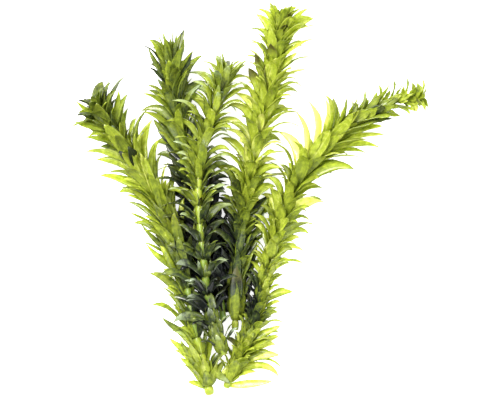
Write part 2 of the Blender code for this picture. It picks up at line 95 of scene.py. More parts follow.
SHOOTS = (
    Shoot(
        name="middle",
        route=((-13, -77, 12), (-16.5, -66, 14.5), (-20.5, -50, 17), (-23, -30, 18.5), (-25, -8, 18),
               (-25.5, 10, 16.5), (-22.5, 30, 14), (-17, 46, 12), (-13, 60, 10), (-11, 71, 9.5)),
        stem_length=104,
        whorls=11,
        radii=(1.7, 2.05),
        filled_from=78,
        between=0.2,
        growth=((0, 1.1, 0, 0, 1.15), (20, 1.1, 0, -0.06, 1), (42, 1.06, 0, -0.1, 1), (58, 0.94, 0, 0, 1.12),
                (100, 0.94, 0, -0.05, 1.12), (128, 0.94, 0, -0.2, 1.05), (142, 0.8, 0, -0.2, 1),
                (152, 0.6, 0, 0, 1)),
        shade=0.22,
        tones=((0, 0.7), (16, 0.7), (40, 0.72), (70, 0.66), (100, 0.43), (130, 0.3), (150, 0.5)),
        strip=(8, 88),
        clasped=(20, 84),
    ),
    Shoot(
        name="left",
        route=((-20, -97.5, 7), (-23.5, -82, 9), (-28, -62, 11), (-31, -44, 12), (-35, -25, 12),
               (-41, -8, 11), (-49, 6, 10), (-59, 21, 9), (-67.5, 33, 8.5), (-74, 43.5, 8.5), (-80, 55, 9)),
        stem_length=90,
        whorls=10,
        radii=(1.6, 2.45),
        filled_from=50,
        between=0.14,
        growth=((0, 0.45, 4, 0.2, 1.6), (8, 0.7, 8, 0.2, 1.5), (14, 1, 12, 0.15, 1.4),
                (20, 1.16, 14, 0, 1.3), (26, 0.88, 2, 0.1, 1.1), (45, 1.06, 4, 0.05, 1),
                (70, 1.14, 0, -0.08, 0.95), (88, 1.2, 0, -0.18, 0.9), (108, 1.18, 0, -0.16, 0.9),
                (122, 1.04, 0, -0.04, 0.9), (150, 1.04, 0, -0.04, 0.9), (165, 1.1, 0, 0, 1)),
        shade=1,
        tones=((0, 0.4), (14, 0.44), (25, 0.64), (60, 0.73), (95, 0.69), (130, 0.64), (170, 0.71)),
        root_shade=0.06,
        strip=(34, 60),
        clasped=(14, 60),
    ),
    Shoot(
        name="right",
        route=((-12, -94, 7), (-7, -82, 8.5), (-0.5, -67, 10), (4.5, -52, 11.5), (7.5, -38, 12),
               (12, -20, 12), (18, -3, 11), (25, 12, 10), (33.5, 23, 9), (44, 33.5, 8.5), (55, 41.5, 8.5),
               (65, 46.5, 8), (73, 49.5, 8), (82, 51, 7.5), (92.5, 51.5, 7.5)),
        stem_length=98,
        whorls=11,
        radii=(1.5, 1.85),
        filled_from=2,
        between=0.14,
        growth=((0, 0.98, 10, -0.05, 1.9), (10, 0.95, 16, -0.05, 1.8), (15, 0.72, 22, 0, 1.7),
                (27, 0.68, 20, 0.1, 1.6), (33, 0.72, 16, 0.15, 1.5), (42, 0.94, 12, 0.25, 1.4),
                (48, 1, 8, 0.25, 1.2), (54, 1.12, 0, 0.1, 1), (70, 1.16, 0, 0.16, 1), (90, 1.14, 0, 0.12, 1),
                (125, 0.95, 0, 0.1, 1), (150, 0.86, 0, 0.1, 1), (175, 0.95, 0, 0.2, 1), (190, 1, 0, 0.1, 1)),
        shade=1,
        tones=((0, 0.7), (28, 0.72), (33, 0.6), (46, 0.62), (58, 0.74), (90, 0.71), (130, 0.71),
               (190, 0.74)),
        root_shade=0.08,
        clasped=(28, 70),
        stem_paler=-0.15,
    ),
    Shoot(
        name="tall",
        route=((-7.5, -65, 7), (-7, -45, 8), (-6, -28, 8.5), (-3.5, -8, 9), (0, 12, 9.5), (4, 33, 9),
               (8.5, 53, 8.5), (12.5, 73, 8.5), (15, 86, 9), (16.5, 98, 9.5)),
        stem_length=66,
        whorls=7,
        radii=(1.5, 1.85),
        filled_from=8,
        between=0.7,
        growth=((0, 0.74, 2, 0, 1.2), (12, 0.96, 2, 0.06, 1.1), (24, 1.14, 0, 0.12, 1.1),
                (60, 1.14, 0, 0.02, 1.05), (110, 1.04, 0, 0, 1)),
        shade=0.8,
        tones=((0, 0.67), (12, 0.68), (40, 0.79), (80, 0.84), (110, 0.62), (150, 0.62)),
        root_shade=0.03,
        stem_paler=0.1,
    ),
    Shoot(
        name="back",
        route=((-13.5, -60, 6.5), (-16, -40, 6.5), (-21, -15, 7), (-28, 10, 7.5), (-34, 32, 8),
               (-38, 52, 8.5), (-39, 68, 9), (-37.5, 81, 9.5)),
        stem_length=72,
        whorls=7,
        radii=(1.5, 1.85),
        filled_from=0,
        between=0.9,
        growth=((0, 0.5, 12, 0, 1.4), (6, 0.88, 18, 0, 1.4), (13, 1.12, 16, -0.04, 1.3),
                (21, 1.05, 6, 0.1, 1.1), (45, 1.1, 0, 0.1, 1), (80, 1.15, 0, -0.08, 1.05),
                (105, 1.35, 0, -0.1, 1.2)),
        shade=1.2,
        tones=((0, 0.62), (20, 0.54), (45, 0.62), (80, 0.42), (140, 0.2)),
        stem_paler=-0.15,
    ),
)

# Painted shade where the shoots lie over each other and in the gaps between them, which darkens leaves and
# stems there: the middle's place, the reach across and along, and how dark it is there
SHADED_PLACES = ((-20, -28, 25, 46, 0.52), (-24, -58, 7, 18, 0.5), (0.5, -49, 6.5, 22, 0.7))

# The share of that reach within which the shade is full
SHADE_CORE = 0.35

# Leaf tips that have dried brown, and long pale leaves, by the place of their tips
DRIED_TIPS = {
    "tall": ((24, 76.5), (2.5, 71), (-1.5, 63), (12.5, 76), (5.5, 66.5), (21, 93.5), (20, 86.5), (-7.5, 20),
             (-6.5, -31)),
    "right": ((-11.5, -69),),
}
PALE_TIPS = {"right": ((17.5, 30), (24, 34), (26.5, 41), (36.5, 46), (30, 31))}

# How near its place a leaf's tip has to be
TIP_REACH = 6.0

# Single leaves that stand out from the rest: distance along the stem, turn round it from straight up
# in degrees, how far they reach along it and out from it, half their width, how far they arch and how
# much paler they are. The last two of the left shoot are darkened by painted shade and make its dark
# hollow
PLACED = {
    "left": ((8, -85, 23, 8.5, 1.7, 0.05, -0.1), (4, -85, 5, 9.5, 1.5, 0.1, 0.05),
             (9, -80, 13, 10.5, 1.6, 0.1, -0.05), (6, 80, 10, 11, 1.9, 0.05, -0.1),
             (10, 85, 8, 14, 0.7, 0.3, -0.35), (5, 60, 13, 5, 1.9, 0, -0.06),
             (71, -85, 21, 16, 1.7, -0.05, 0), (63, -85, 18, 16.5, 1.7, -0.05, 0),
             (52, -85, 13.5, 14.5, 1.6, 0.05, -0.05), (145, -80, 12.5, 14, 2, 0, 0),
             (149.5, -70, 16.5, 8.5, 2, -0.05, 0), (147, 75, 12, 14, 2, -0.05, 0),
             (155, 60, 8.5, 7.5, 1.9, 0, 0), (15, 75, -11, 11.5, 2.3, 0, -0.1),
             (20, -85, 13, 13.5, 2, -0.05, 0.04), (30, -85, 14, 15, 1.7, -0.05, 0),
             (121.5, 9, 10, 12.5, 3, 0, -0.6), (124, -14, 8.5, 12, 2.4, 0, -0.52)),
    "right": ((9, 88, 6.4, 22.5, 1.8, 0.25, 0.04), (2, 80, 11, 20.5, 2.1, 0, 0.12),
              (12, 90, 7.5, 22.5, 0.7, 0.25, 0), (15, 80, 11.5, 18.5, 2.3, 0.1, 0.1),
              (18, 75, 18, 13.5, 1.8, 0.1, 0.06), (20.7, -85, 2.3, 10.5, 1.5, 0.15, 0.05),
              (13, -70, -9, 5, 1.9, 0, -0.05), (165, -70, 5, 11.5, 0.9, 0.2, 0),
              (172, -70, 5, 12, 0.9, 0.2, 0), (179, -70, 3, 11.5, 0.8, 0.15, 0),
              (180, -50, 7, 7.5, 1.4, 0.1, 0), (168, 70, 4.5, 7, 1, 0.15, -0.1),
              (173, 75, 6.5, 9, 0.9, 0.2, -0.1), (179, 60, 8, 5, 1, 0.1, 0),
              (70, 85, 6, 16.4, 0.9, 0.25, 0), (64, 85, 6, 17.5, 1, 0.2, 0),
              (47, 85, 8.5, 15, 1.9, 0.15, 0.04), (20, 85, 15, 14, 1.9, 0.1, 0.08),
              (26, 85, 14, 13, 2, 0.05, 0.04)),
    "tall": ((130, 75, 12.5, 11, 2.2, 0.1, 0.02), (125, -75, 12.5, 10, 2.3, 0.1, 0),
             (117, -75, 12.5, 12, 2.3, 0.1, 0), (124, 10, 13, 6, 2.1, 0, 0.04),
             (121, -35, 12, 6.5, 1.9, 0, 0), (150, 40, 10, 6, 1.8, 0, 0),
             (142, 35, 10.5, 6, 1.8, 0, 0), (138, 80, 9, 13.5, 0.7, 0.25, -0.1),
             (118, 85, 8, 17, 0.8, 0.3, -0.1), (128, -80, 7, 15, 0.7, 0.3, -0.1),
             (142, -80, 6.5, 16, 0.7, 0.3, -0.05), (136, -82, 6, 14.4, 0.6, 0.3, -0.1)),
    "back": ((122, -70, 18, 11.5, 1.8, -0.05, -0.1), (120, 70, 16, 12, 1.8, -0.05, -0.15),
             (128, 60, 16, 7.5, 1.8, 0, -0.1)),
}

# The smooth bases at the feet: distance from the cut end, length, half width, height over the stem's
# middle and how much paler they are
SHEATHS = {
    "tall": ((5, 23, 2.7, 3.1, 0.08), (13, 22, 2.6, 3.3, 0.02)),
    "right": ((4, 15, 2.3, 2.4, 0), (12, 15, 2.7, 2.8, 0), (22, 14, 2.8, 3.2, 0.02)),
    "left": ((4.5, 10, 2.6, 2.7, 0), (11, 9, 2.5, 2.7, -0.02)),
    "middle": ((1, 12, 2.2, 2.2, 0.22), (9, 11, 2.2, 2.4, 0.18), (17, 10, 2.1, 2.4, 0.12)),
}

# Where broad leaves darkened by painted shade lie low at both sides of a stem, under the others: the first
# and last distance and the spacing
OLD_LEAVES_IN_PAINTED_SHADE = {"tall": (4, 70, 6), "back": (4, 94, 4.5)}

# Shares of a leaf's length where the CAD model gives its place, and the share of a short leaf's middle
STATIONS = (0.0, 0.3, 0.7, 1.0)
SHORT_STATION = 0.55

# How far corners of the CAD model may stand apart to count as one, how many corners the end of a
# stem has, and how far along the stem leaves may stand apart to count as one ring
WELD = 0.002
STEM_CORNERS = 6
RING_DEPTH = 0.5

# Rings on the upper stem: how far apart, how far each is turned against the last, in degrees, and
# how far that strays
RING_SPACING = 5.4
RING_TURN = 36
RING_STRAY = 8

# Leaves between rings: the widest turn to the next leaf, how likely they are on top, at a crown's side
# and on a leaf's other side, and how far up, how large and how turned they are
WIDEST_GAP = math.radians(58)
TOP_CHANCE = 0.75
CROWN_SIDE_CHANCE = 0.4
OTHER_SIDE = 0.6
BETWEEN_SHARES = (0.38, 0.62)
SIDE_SIZE = 0.66
TOP_SIZE = 0.9
BETWEEN_SIZES = (0.9, 1.08)
BETWEEN_SWING = 9
BETWEEN_LEAN = (-10, 8)

# A ring with no leaf within this turn of straight up gets one, which may stray by so much
TOP_GAP = 36
TOP_STRAY = 14

# Leaves over the edges of a bare strip of stem: their turns from straight up, the widest turn of those
# that they copy, their sizes, how far they stray along the stem, and how they lean
STRIP_EDGE = (36, 66)
STRIP_WIDEST = 110
STRIP_SIZES = (0.5, 0.72)
STRIP_STRAY = 1.5
STRIP_LEAN = (-14, 4)

# Young leaves over a crown's last ring: turn round the stem, size, and how far on they grow, and how
# far they stray and lean
BUD_RINGS = ((36, 0.98, 1.2), (0, 0.86, 2.2), (36, 0.66, 3.0))
BUD_STRAY = 10
BUD_LEAN = (-6, 4)

# Old leaf bases that clasp the stem: how many to a ring, the turn of the first and how far each strays,
# in radians, their lengths, half widths and heights over the stem's middle, those of the tips, and tone
CLASP_COUNT = 4
CLASP_START = (0.5, 1.1)
CLASP_STRAY = 0.2
CLASP_LENGTHS = (6.5, 10.5)
CLASP_WIDTHS = (1.7, 2.3)
CLASP_HEIGHTS = (1.5, 2.5, 2.8)
CLASP_TIPS = (2.8, 5.5)
CLASP_PALER = 0.08

# Smooth bases at the feet: their turns and how far those stray, their height at the root and shares of
# the table's height further on, those at the tips, and how their lengths and tones differ
SHEATH_TURNS = (-58, 58, 0)
SHEATH_STRAY = 14
SHEATH_HEIGHTS = (1.6, 0.95, 1.06)
SHEATH_TIPS = (0.9, 1.3)
SHEATH_LENGTHS = (0.85, 1.12)
SHEATH_TONE = 0.05

# Single leaves: their height at the root, as for old ones, the shares of their reach at the two middle
# stations, how far those at the sides are turned to lie flat, in radians, and its stray, in degrees
PLACED_ROOT = 1.4
PLACED_RISE = (0.3, 0.72)
FLAT_SHARE = 1.2
FLAT_STRAY = 8

# Old leaves in painted shade: how far they stray as a share of their spacing, their turns, reaches,
# lengths and half widths, the shares of the reach at the two middle stations, how flat they lie, how
# much painted shade darkens them and how far their tone strays
OLD_STRAY = (0.0, 0.8)
OLD_TURNS = (88, 118)
OLD_REACHES = (7.5, 12.5)
OLD_LENGTHS = (10, 17)
OLD_WIDTHS = (1.9, 2.8)
OLD_RISE = (0.4, 0.8)
OLD_FLAT = (0.7, 1.3)
OLD_LEAF_PAINTED_SHADE = -0.24
OLD_TONE = 0.1

# How leaves of one place differ in size and lean, and how far they rise before they bend out
SIZES = (0.76, 1.22)
LEAN_SPREAD = (0.6, 1.4)
ARCH = (0.02, 0.16)

# Leaves that face up: their size and width as shares of the others', and how far they swing and lean
FACING_SIZE = 0.96
FACING_WIDTH = 1.0
FACING_SWING = 18.0
FACING_LEAN = -9.0

# How far leaves are turned about their own length, on top and sideways, and the widths of the latter
TWIST = 18.0
SIDE_TWIST = 40.0
SIDE_WIDTHS = (0.6, 1.05)

# How deep leaves are rooted, as a share of the stem's radius, and the lowest their middle line may lie
ROOT_DEPTH = 0.8
LOWEST_LINE = 0.7

# The stem: its radius at the tip, over how long a stretch it tapers to that, how far past the last
# ring the taper and the stem end, and how fully it swells between rings
APEX_RADIUS = 0.5
APEX_TAPER = 22.0
APEX_PAST_RING = 2.0
STEM_PAST_RING = 2.5
SWELL = 0.6

# The rounded rim of a cut end, as distances and shares of the radius, and how far joints and the cut
# colour the stem
RIM_DISTANCES = (0.0, 0.04, 0.1, 0.3)
RIM_SHARES = (0.86, 0.95, 0.99)
JOINT_REACH = 0.7
CUT_REACH = 0.5

# How leaves differ in tone: each by itself, pale and dried ones, and by painted light at the tip, which is
# stronger on leaves at the stem's sides
OWN_TONE = 0.07
PALER = 0.3
DRIER = 0.16
PAINTED_TIP_LIGHT = 0.04
PAINTED_RIM_LIGHT = 0.04

# The size and width of dried leaves and the size of pale ones, against the others'
DRIED_SIZE = 1.05
DRIED_WIDTH = 1.25
PALE_SIZE = 1.32

# How many leaves have dark tips, how much darker they are, and how dry the tips of the others are
DARK_TIPS = 0.12
DARK_TIP = 0.3
DRYNESS = (0.0, 0.0, 0.0, 0.25)

# How many leaves of a shoot carry a painted sheen, which stands in for the reflection on their wet film, and
# how strong it is
PAINTED_SHEEN_SHARES = {"middle": 0.36, "back": 0.08, "tall": 0.03, "left": 0.03}
PAINTED_SHEEN_STRENGTHS = (0.5, 1.0)

# How glossy a leaf is, on the wettest shoot and on the others, and how far leaves are folded
WETTEST = "middle"
WET_GLOSS = (0.5, 1.0)
DRY_GLOSS = (0.0, 0.35)
FOLDS = (0.2, 2.0)

# The numbers and vectors that the point of a leaf carries, and what the finished mesh can do without
POINT_NUMBERS = ("half_width", "fold", "phase", "root_tone", "tip_tone", "dry", "gloss", "silver")
POINT_VECTORS = ("curve_0", "curve_1", "curve_2", "curve_3", "across_0", "across_1")
SPENT = (*POINT_VECTORS, *POINT_NUMBERS[:5], "face")

# A leaf's width along it, as shares of its greatest width
BLADE_OUTLINE = ((0.0, 0.5), (0.12, 0.78), (0.32, 1.0), (0.55, 0.93), (0.76, 0.66), (0.9, 0.33), (1.0, 0.0))

# The height over the surface at which the camera's height and the width of its view are measured
VIEW_PLANE = 10.0

# A leaf's blade: how its fold sets in towards the edges, the turns of its waves along it and how they
# lag across it, how much thinner its tip is, and how low its faces may lie, in metres
FOLD_BEND = 1.6
WAVE_TURN = 13.0
WAVE_LAG = 1.4
TIP_THINNER = 0.32
LOWEST_FACE = 0.00012
LOWEST_SPREAD = 0.00004

# A leaf's look: the turns of its veins, and where across it the midrib and the rim of painted light lie
VEIN_TURN = 17.0
MIDRIB = (0.05, 0.22)
PAINTED_RIM_SPAN = (0.7, 1.0)

# How much lighter these parts of a leaf are, the rim by painted light, and how far its midrib and veins
# stand out
MIDRIB_TONE = 0.06
VEIN_TONE = 0.02
PAINTED_RIM_LIGHT = 0.04
CELL_TONE = -0.08
MIDRIB_RELIEF = 0.5
VEIN_RELIEF = 0.15

# How many patches of tone there are to the metre, and how strong they are on the two kinds of leaf
FULL_GROWN_PATCHES = (420.0, 0.9)
YOUNG_PATCHES = (460.0, 0.7)
STEM_PATCHES = 500.0

# Where along a leaf dryness and the painted sheen set in and are full, and for the sheen how strong it is at
# both
DRY_STRETCH = (0.4, 0.75)
PAINTED_SHEEN_STRETCH = (0.5, 0.9, 0.0, 0.75)

# How ragged the patches make the ends of both stretches
DRY_RAGGED = 0.5
PAINTED_SHEEN_RAGGED = 0.6

# How far the patches roughen leaves and stems, and their least roughness, and the same for a leaf's
# film of water by its gloss
LEAF_ROUGHNESS = (0.25, 0.26)
STEM_ROUGHNESS = (0.3, 0.22)
LEAF_FILM = (0.9, 0.08)

# Where the patches darken a stem and how much, and how much its joints are coloured
STEM_MOTTLING = (0.35, 0.7, 0.0, 0.35)
JOINT_TONE = 0.75

# The share of light that comes through a leaf, and how strongly wet tissue bends light
LIGHT_THROUGH = 0.5
WATER_IOR = 1.42

# The lamps: name, place in metres, size, share of the key light's power, and colour
LIGHTS = (
    ("key light", (-0.5, 0.45, 1.0), 0.5, 1.0, (1.0, 0.98, 0.95)),
    ("far light", (0.7, -0.3, 0.9), 0.9, 0.4, (0.96, 0.98, 1.0)),
)


# Leaves and the routes of the stems

class Leaf(NamedTuple):
    """One leaf: where it grows, its middle line at the four stations, and its way across at two.

    The distance runs along the shoot's route and the angle round it, from straight up. Paler is how
    much lighter it is than the leaves beside it.
    """

    distance: float
    angle: float
    line: tuple
    across: tuple
    half_width: float
    paler: float = 0.0


class Route:
    """A smooth line through given points, measured by the distance along it."""

    STEPS = 24

    def __init__(self, points):
        knots = [Vector(point) for point in points]
        knots = [2 * knots[0] - knots[1], *knots, 2 * knots[-1] - knots[-2]]
        self.points = []
        for first, start, end, last in zip(knots, knots[1:], knots[2:], knots[3:]):
            for step in range(self.STEPS):
                self.points.append(self.blend(first, start, end, last, step / self.STEPS))
        self.points.append(knots[-2])
        self.distances = [0.0]
        for start, end in zip(self.points, self.points[1:]):
            self.distances.append(self.distances[-1] + (end - start).length)
        self.length = self.distances[-1]

    @staticmethod
    def blend(first, start, end, last, t):
        """A point of the Catmull-Rom curve between start and end."""
        slope_in = (end - first) / 2
        slope_out = (last - start) / 2
        return (start * (2 * t**3 - 3 * t**2 + 1) + slope_in * (t**3 - 2 * t**2 + t)
                + end * (3 * t**2 - 2 * t**3) + slope_out * (t**3 - t**2))

    def move(self, shift):
        self.points = [point + shift for point in self.points]

    def point(self, distance):
        distance = min(max(distance, 0.0), self.length)
        for index in range(1, len(self.points)):
            if self.distances[index] >= distance:
                break
        start, end = self.distances[index - 1], self.distances[index]
        return self.points[index - 1].lerp(self.points[index], (distance - start) / (end - start))

    def frame(self, distance):
        """The middle of the stem, its direction, and the two directions across it, up first."""
        along = (self.point(distance + 1) - self.point(distance - 1)).normalized()
        up = (Vector((0, 0, 1)) - along * along.z).normalized()
        return self.point(distance), along, up, along.cross(up)

    def place(self, point):
        """The distance along the route and the angle round it at which a point lies."""
        nearest = min(range(len(self.points)), key=lambda index: (self.points[index] - point).length_squared)
        middle, along, _, _ = self.frame(self.distances[nearest])
        distance = self.distances[nearest] + (point - middle).dot(along)
        middle, _, up, side = self.frame(distance)
        return distance, math.atan2((point - middle).dot(side), (point - middle).dot(up))


def mix(start, end, share):
    return start + (end - start) * share


def smooth_step(value):
    value = min(max(value, 0.0), 1.0)
    return value * value * (3 - 2 * value)


def in_table(rows, place):
    """The numbers of the rows for this place, read between those of the rows' first column."""
    for upper, lower in zip(rows, rows[1:]):
        if place <= lower[0]:
            share = max(place - upper[0], 0.0) / (lower[0] - upper[0])
            return [mix(start, end, share) for start, end in zip(upper[1:], lower[1:])]
    return rows[-1][1:]


# The sweep from a leaf's four stations to the numbers of its curve, a cubic in the share of its length
CURVE_FROM_STATIONS = Matrix([[share**power for power in range(4)] for share in STATIONS]).inverted()


def curve_numbers(line):
    return [sum((line[column] * CURVE_FROM_STATIONS[row][column] for column in range(4)), Vector())
            for row in range(4)]


# The leaves of the CAD model

def welded(node):
    """The node's mesh with its corners joined, in millimetres."""
    bm = bmesh.new()
    bm.from_mesh(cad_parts[node].data)
    bmesh.ops.remove_doubles(bm, verts=bm.verts, dist=WELD * MM)
    bmesh.ops.scale(bm, verts=bm.verts, vec=Vector((1, 1, 1)) / MM)
    return bm


def corners_below(section, above):
    """The corners that a leaf section is joined to, apart from its own and those above it."""
    joined = {edge.other_vert(corner) for corner in section for edge in corner.link_edges}
    return sorted(joined - set(section) - set(above), key=lambda corner: tuple(corner.co))


def leaf_sections(tip):
    """A leaf's sections from its tip to its root, each of them three corners."""
    sections = [[tip], [edge.other_vert(tip) for edge in tip.link_edges]]
    while True:
        below = corners_below(sections[-1], sections[-2])
        if len(below) != 3:
            return sections
        sections.append(below)


def edge_to_edge(section):
    """The two edges of a leaf section and the ridge between them."""
    corners = [corner.co.copy() for corner in section]
    ridge = min(corners, key=lambda corner: sum((corner - other).length for other in corners))
    corners.remove(ridge)
    return corners[0], corners[1], ridge


def middle_of(section):
    return sum((corner.co for corner in section), Vector()) / len(section)


def read_leaf(tip, route):
    """A leaf of the CAD model from the vertex at its tip."""
    sections = leaf_sections(tip)
    root = middle_of(sections[-1])
    distance, angle = route.place(root)
    levels = [edge_to_edge(section) for section in reversed(sections[1:-1])]
    middles = [(left + right) / 2 for left, right, _ in levels]
    crossings = []
    for left, right, ridge in levels:
        across = (right - left) / 2
        if (tip.co - root).cross(across).dot(ridge - (left + right) / 2) < 0:
            across.negate()
        crossings.append(across)
    if len(middles) == 1:
        middles = [through_three(root, middles[0], tip.co, share) for share in STATIONS[1:3]]
        crossings = crossings * 2
    return Leaf(
        distance=distance,
        angle=angle,
        line=(root, *middles, tip.co.copy()),
        across=tuple(crossing.normalized() for crossing in crossings),
        half_width=crossings[0].length,
    )


def through_three(root, middle, tip, share):
    """A point of the even curve through a root, a middle and a tip."""
    bend = (middle - root - (tip - root) * SHORT_STATION) / (SHORT_STATION * (SHORT_STATION - 1))
    return root + (tip - root) * share + bend * share * (share - 1)


def leaves_on(node, route):
    bm = welded(node)
    found = [read_leaf(corner, route) for corner in bm.verts if len(corner.link_edges) == 3]
    bm.free()
    return sorted(found, key=lambda leaf: (round(leaf.distance, 1), leaf.angle))


def cut_end(node):
    """The middle of a stem solid's cut end, which is its lowest ring along Y."""
    bm = welded(node)
    ring = sorted(bm.verts, key=lambda corner: corner.co.y)[:STEM_CORNERS]
    middle = middle_of(ring)
    bm.free()
    return middle


def in_rings(leaves):
    """Leaves that grow at one distance, ring by ring."""
    rings = []
    for leaf in sorted(leaves, key=lambda leaf: leaf.distance):
        if rings and leaf.distance - rings[-1][-1].distance < RING_DEPTH:
            rings[-1].append(leaf)
        else:
            rings.append([leaf])
    return rings


# The finer leaves between them

def turned(leaf, route, swing, lean, size):
    """The same leaf swung round its stem, leaned away from it and sized about its root."""
    root = leaf.line[0]
    _, along, _, _ = route.frame(leaf.distance)
    turn = (Matrix.Rotation(math.radians(swing), 3, along)
            @ Matrix.Rotation(math.radians(lean), 3, leaf.across[0]))
    return leaf._replace(
        line=tuple(root + turn @ (point - root) * size for point in leaf.line),
        across=tuple(turn @ across for across in leaf.across),
        half_width=leaf.half_width * size,
    )


def twisted(leaf, degrees):
    """The same leaf turned about its own length."""
    turn = Matrix.Rotation(math.radians(degrees), 3, (leaf.line[3] - leaf.line[0]).normalized())
    return leaf._replace(across=tuple(turn @ across for across in leaf.across))


def arched(leaf, route, amount):
    """The same leaf rising further along the stem before it bends out to the same tip."""
    _, along, _, _ = route.frame(leaf.distance)
    rise = along * (leaf.line[3] - leaf.line[0]).length * amount * 4
    line = tuple(point + rise * share * (1 - share) for point, share in zip(leaf.line, STATIONS))
    return leaf._replace(line=line)


def moved_on(leaf, route, distance, swing):
    """The same leaf grown at another distance along the stem and swung round it."""
    start, along, up, side = route.frame(leaf.distance)
    end, new_along, new_up, new_side = route.frame(distance)
    carry = Matrix((new_along, new_up, new_side)).transposed() @ Matrix((along, up, side))
    carry = Matrix.Rotation(math.radians(swing), 3, new_along) @ carry
    return leaf._replace(
        distance=distance,
        angle=leaf.angle + math.radians(swing),
        line=tuple(end + carry @ (point - start) for point in leaf.line),
        across=tuple(carry @ across for across in leaf.across),
    )


def flat_list(rings):
    return [leaf for ring in rings for leaf in ring]


def either_way(chance, reach):
    return chance.uniform(-reach, reach)


def natural(leaf, shoot, route, chance):
    """The same leaf bent, turned and sized a little, and slimmer at the sides of the stem."""
    facing = max(math.cos(leaf.angle), 0.0)
    larger, lean, righter, wider = in_table(shoot.growth, route.length - leaf.distance)
    size = mix(1.0, FACING_SIZE, facing) * chance.uniform(*SIZES) * larger
    size *= 1 + righter * math.sin(leaf.angle)
    lean = lean * chance.uniform(*LEAN_SPREAD) + FACING_LEAN * facing
    leaf = turned(leaf, route, either_way(chance, FACING_SWING) * facing, lean, size)
    twist = chance.gauss(0.0, mix(SIDE_TWIST, TWIST, facing))
    leaf = twisted(arched(leaf, route, chance.uniform(*ARCH)), twist)
    width = mix(chance.uniform(*SIDE_WIDTHS), FACING_WIDTH, facing) * wider
    return leaf._replace(half_width=leaf.half_width * width)


def planted(leaf, route, radius):
    """The same leaf with its root in the stem's skin and its middle line above the surface."""
    middle, along, up, side = route.frame(leaf.distance)
    outward = up * math.cos(leaf.angle) + side * math.sin(leaf.angle)
    line = (middle + outward * (radius * ROOT_DEPTH), *leaf.line[1:])
    return leaf._replace(line=tuple(Vector((*point.xy, max(point.z, LOWEST_LINE))) for point in line))


def angle_between(start, end):
    """The turn from one angle to another, from -pi to pi."""
    return (end - start + math.pi) % math.tau - math.pi


def leaf_between(lower, upper, route, chance):
    """A leaf halfway between two that stand in neighbouring rings."""
    share = chance.uniform(*BETWEEN_SHARES)
    angle = lower.angle + angle_between(lower.angle, upper.angle) * share
    leaf = Leaf(
        distance=mix(lower.distance, upper.distance, share),
        angle=angle,
        line=tuple(start.lerp(end, share) for start, end in zip(lower.line, upper.line)),
        across=tuple(start.lerp(end, share).normalized()
                     for start, end in zip(lower.across, upper.across)),
        half_width=mix(lower.half_width, upper.half_width, share),
    )
    size = mix(SIDE_SIZE, TOP_SIZE, max(math.cos(angle), 0.0)) * chance.uniform(*BETWEEN_SIZES)
    return turned(leaf, route, either_way(chance, BETWEEN_SWING), chance.uniform(*BETWEEN_LEAN), size)


def leaves_between(rings, shoot, route, chance):
    """One leaf in each gap between a ring's leaf and the nearest one further round in the next ring."""
    finer = []
    for lower, upper_ring in [(leaf, above) for ring, above in zip(rings, rings[1:]) for leaf in ring]:
        sideways = CROWN_SIDE_CHANCE if lower.distance > shoot.stem_length else shoot.between
        likely = mix(TOP_CHANCE, sideways, abs(math.sin(lower.angle)))
        for direction, share in ((1, 1.0), (-1, OTHER_SIDE)):
            turns = [(angle_between(lower.angle, upper.angle) * direction, upper) for upper in upper_ring]
            turns = [(turn, upper) for turn, upper in turns if 0 < turn < WIDEST_GAP]
            if turns and chance.random() < likely * share:
                upper = min(turns, key=lambda pair: pair[0])[1]
                finer.append(leaf_between(lower, upper, route, chance))
    return finer


def with_missing_rings(rings, shoot, route, chance):
    """The rings, and further ones where two of them stand far apart on the upper stem."""
    filled = [rings[0]]
    for ring in rings[1:]:
        lower = filled[-1]
        gap = ring[0].distance - lower[0].distance
        extra = round(gap / RING_SPACING) - 1 if lower[0].distance > shoot.filled_from else 0
        for number in range(extra):
            distance = lower[0].distance + gap * (number + 1) / (extra + 1)
            swing = RING_TURN * (number + 1) + either_way(chance, RING_STRAY)
            filled.append([moved_on(leaf, route, distance, swing) for leaf in lower])
        filled.append(ring)
    return filled


def bud_leaves(last_ring, route, chance):
    """The smallest leaves, which close over the tip of a shoot."""
    young = []
    for swing, size, ahead in BUD_RINGS:
        for leaf in last_ring:
            stray = either_way(chance, BUD_STRAY)
            small = turned(leaf, route, swing + stray, chance.uniform(*BUD_LEAN), size)
            _, along, _, _ = route.frame(leaf.distance)
            young.append(small._replace(
                line=tuple(point + along * ahead for point in small.line),
                distance=leaf.distance + ahead,
                angle=leaf.angle + math.radians(swing),
            ))
    return young


def strip_leaves(rings, shoot, route, chance):
    """Short leaves that lean out over both edges of a bare strip of stem."""
    short = []
    for leaf in flat_list(rings):
        turn = math.degrees(abs(leaf.angle))
        if shoot.strip[0] < leaf.distance < shoot.strip[1] and STRIP_EDGE[1] < turn < STRIP_WIDEST:
            swing = -math.copysign(turn - chance.uniform(*STRIP_EDGE), leaf.angle)
            size = chance.uniform(*STRIP_SIZES)
            near = moved_on(leaf, route, leaf.distance + either_way(chance, STRIP_STRAY), 0.0)
            near = turned(near, route, swing, chance.uniform(*STRIP_LEAN), size)
            short.append(near._replace(angle=leaf.angle + math.radians(swing)))
    return short


def top_leaves(rings, shoot, route, chance):
    """A leaf over the stem in each ring that has none there, apart from the bare strip."""
    added = []
    for ring in rings:
        distance = ring[0].distance
        highest = min(ring, key=lambda leaf: abs(math.degrees(leaf.angle)))
        turn = math.degrees(highest.angle)
        bare = distance <= shoot.filled_from or shoot.strip[0] <= distance <= shoot.strip[1]
        if abs(turn) > TOP_GAP and not bare:
            added.append(moved_on(highest, route, highest.distance, either_way(chance, TOP_STRAY) - turn))
    return added


def leaf_at(route, distance, angle, length, half_width, heights, paler=0.0):
    """A leaf along the stem, at the given heights over its middle."""
    middle, along, up, side = route.frame(distance)
    outward = up * math.cos(angle) + side * math.sin(angle)
    line = tuple(middle + along * length * share + outward * height
                 for share, height in zip(STATIONS, heights))
    return Leaf(distance, angle, line, (along.cross(outward),) * 2, half_width, paler)


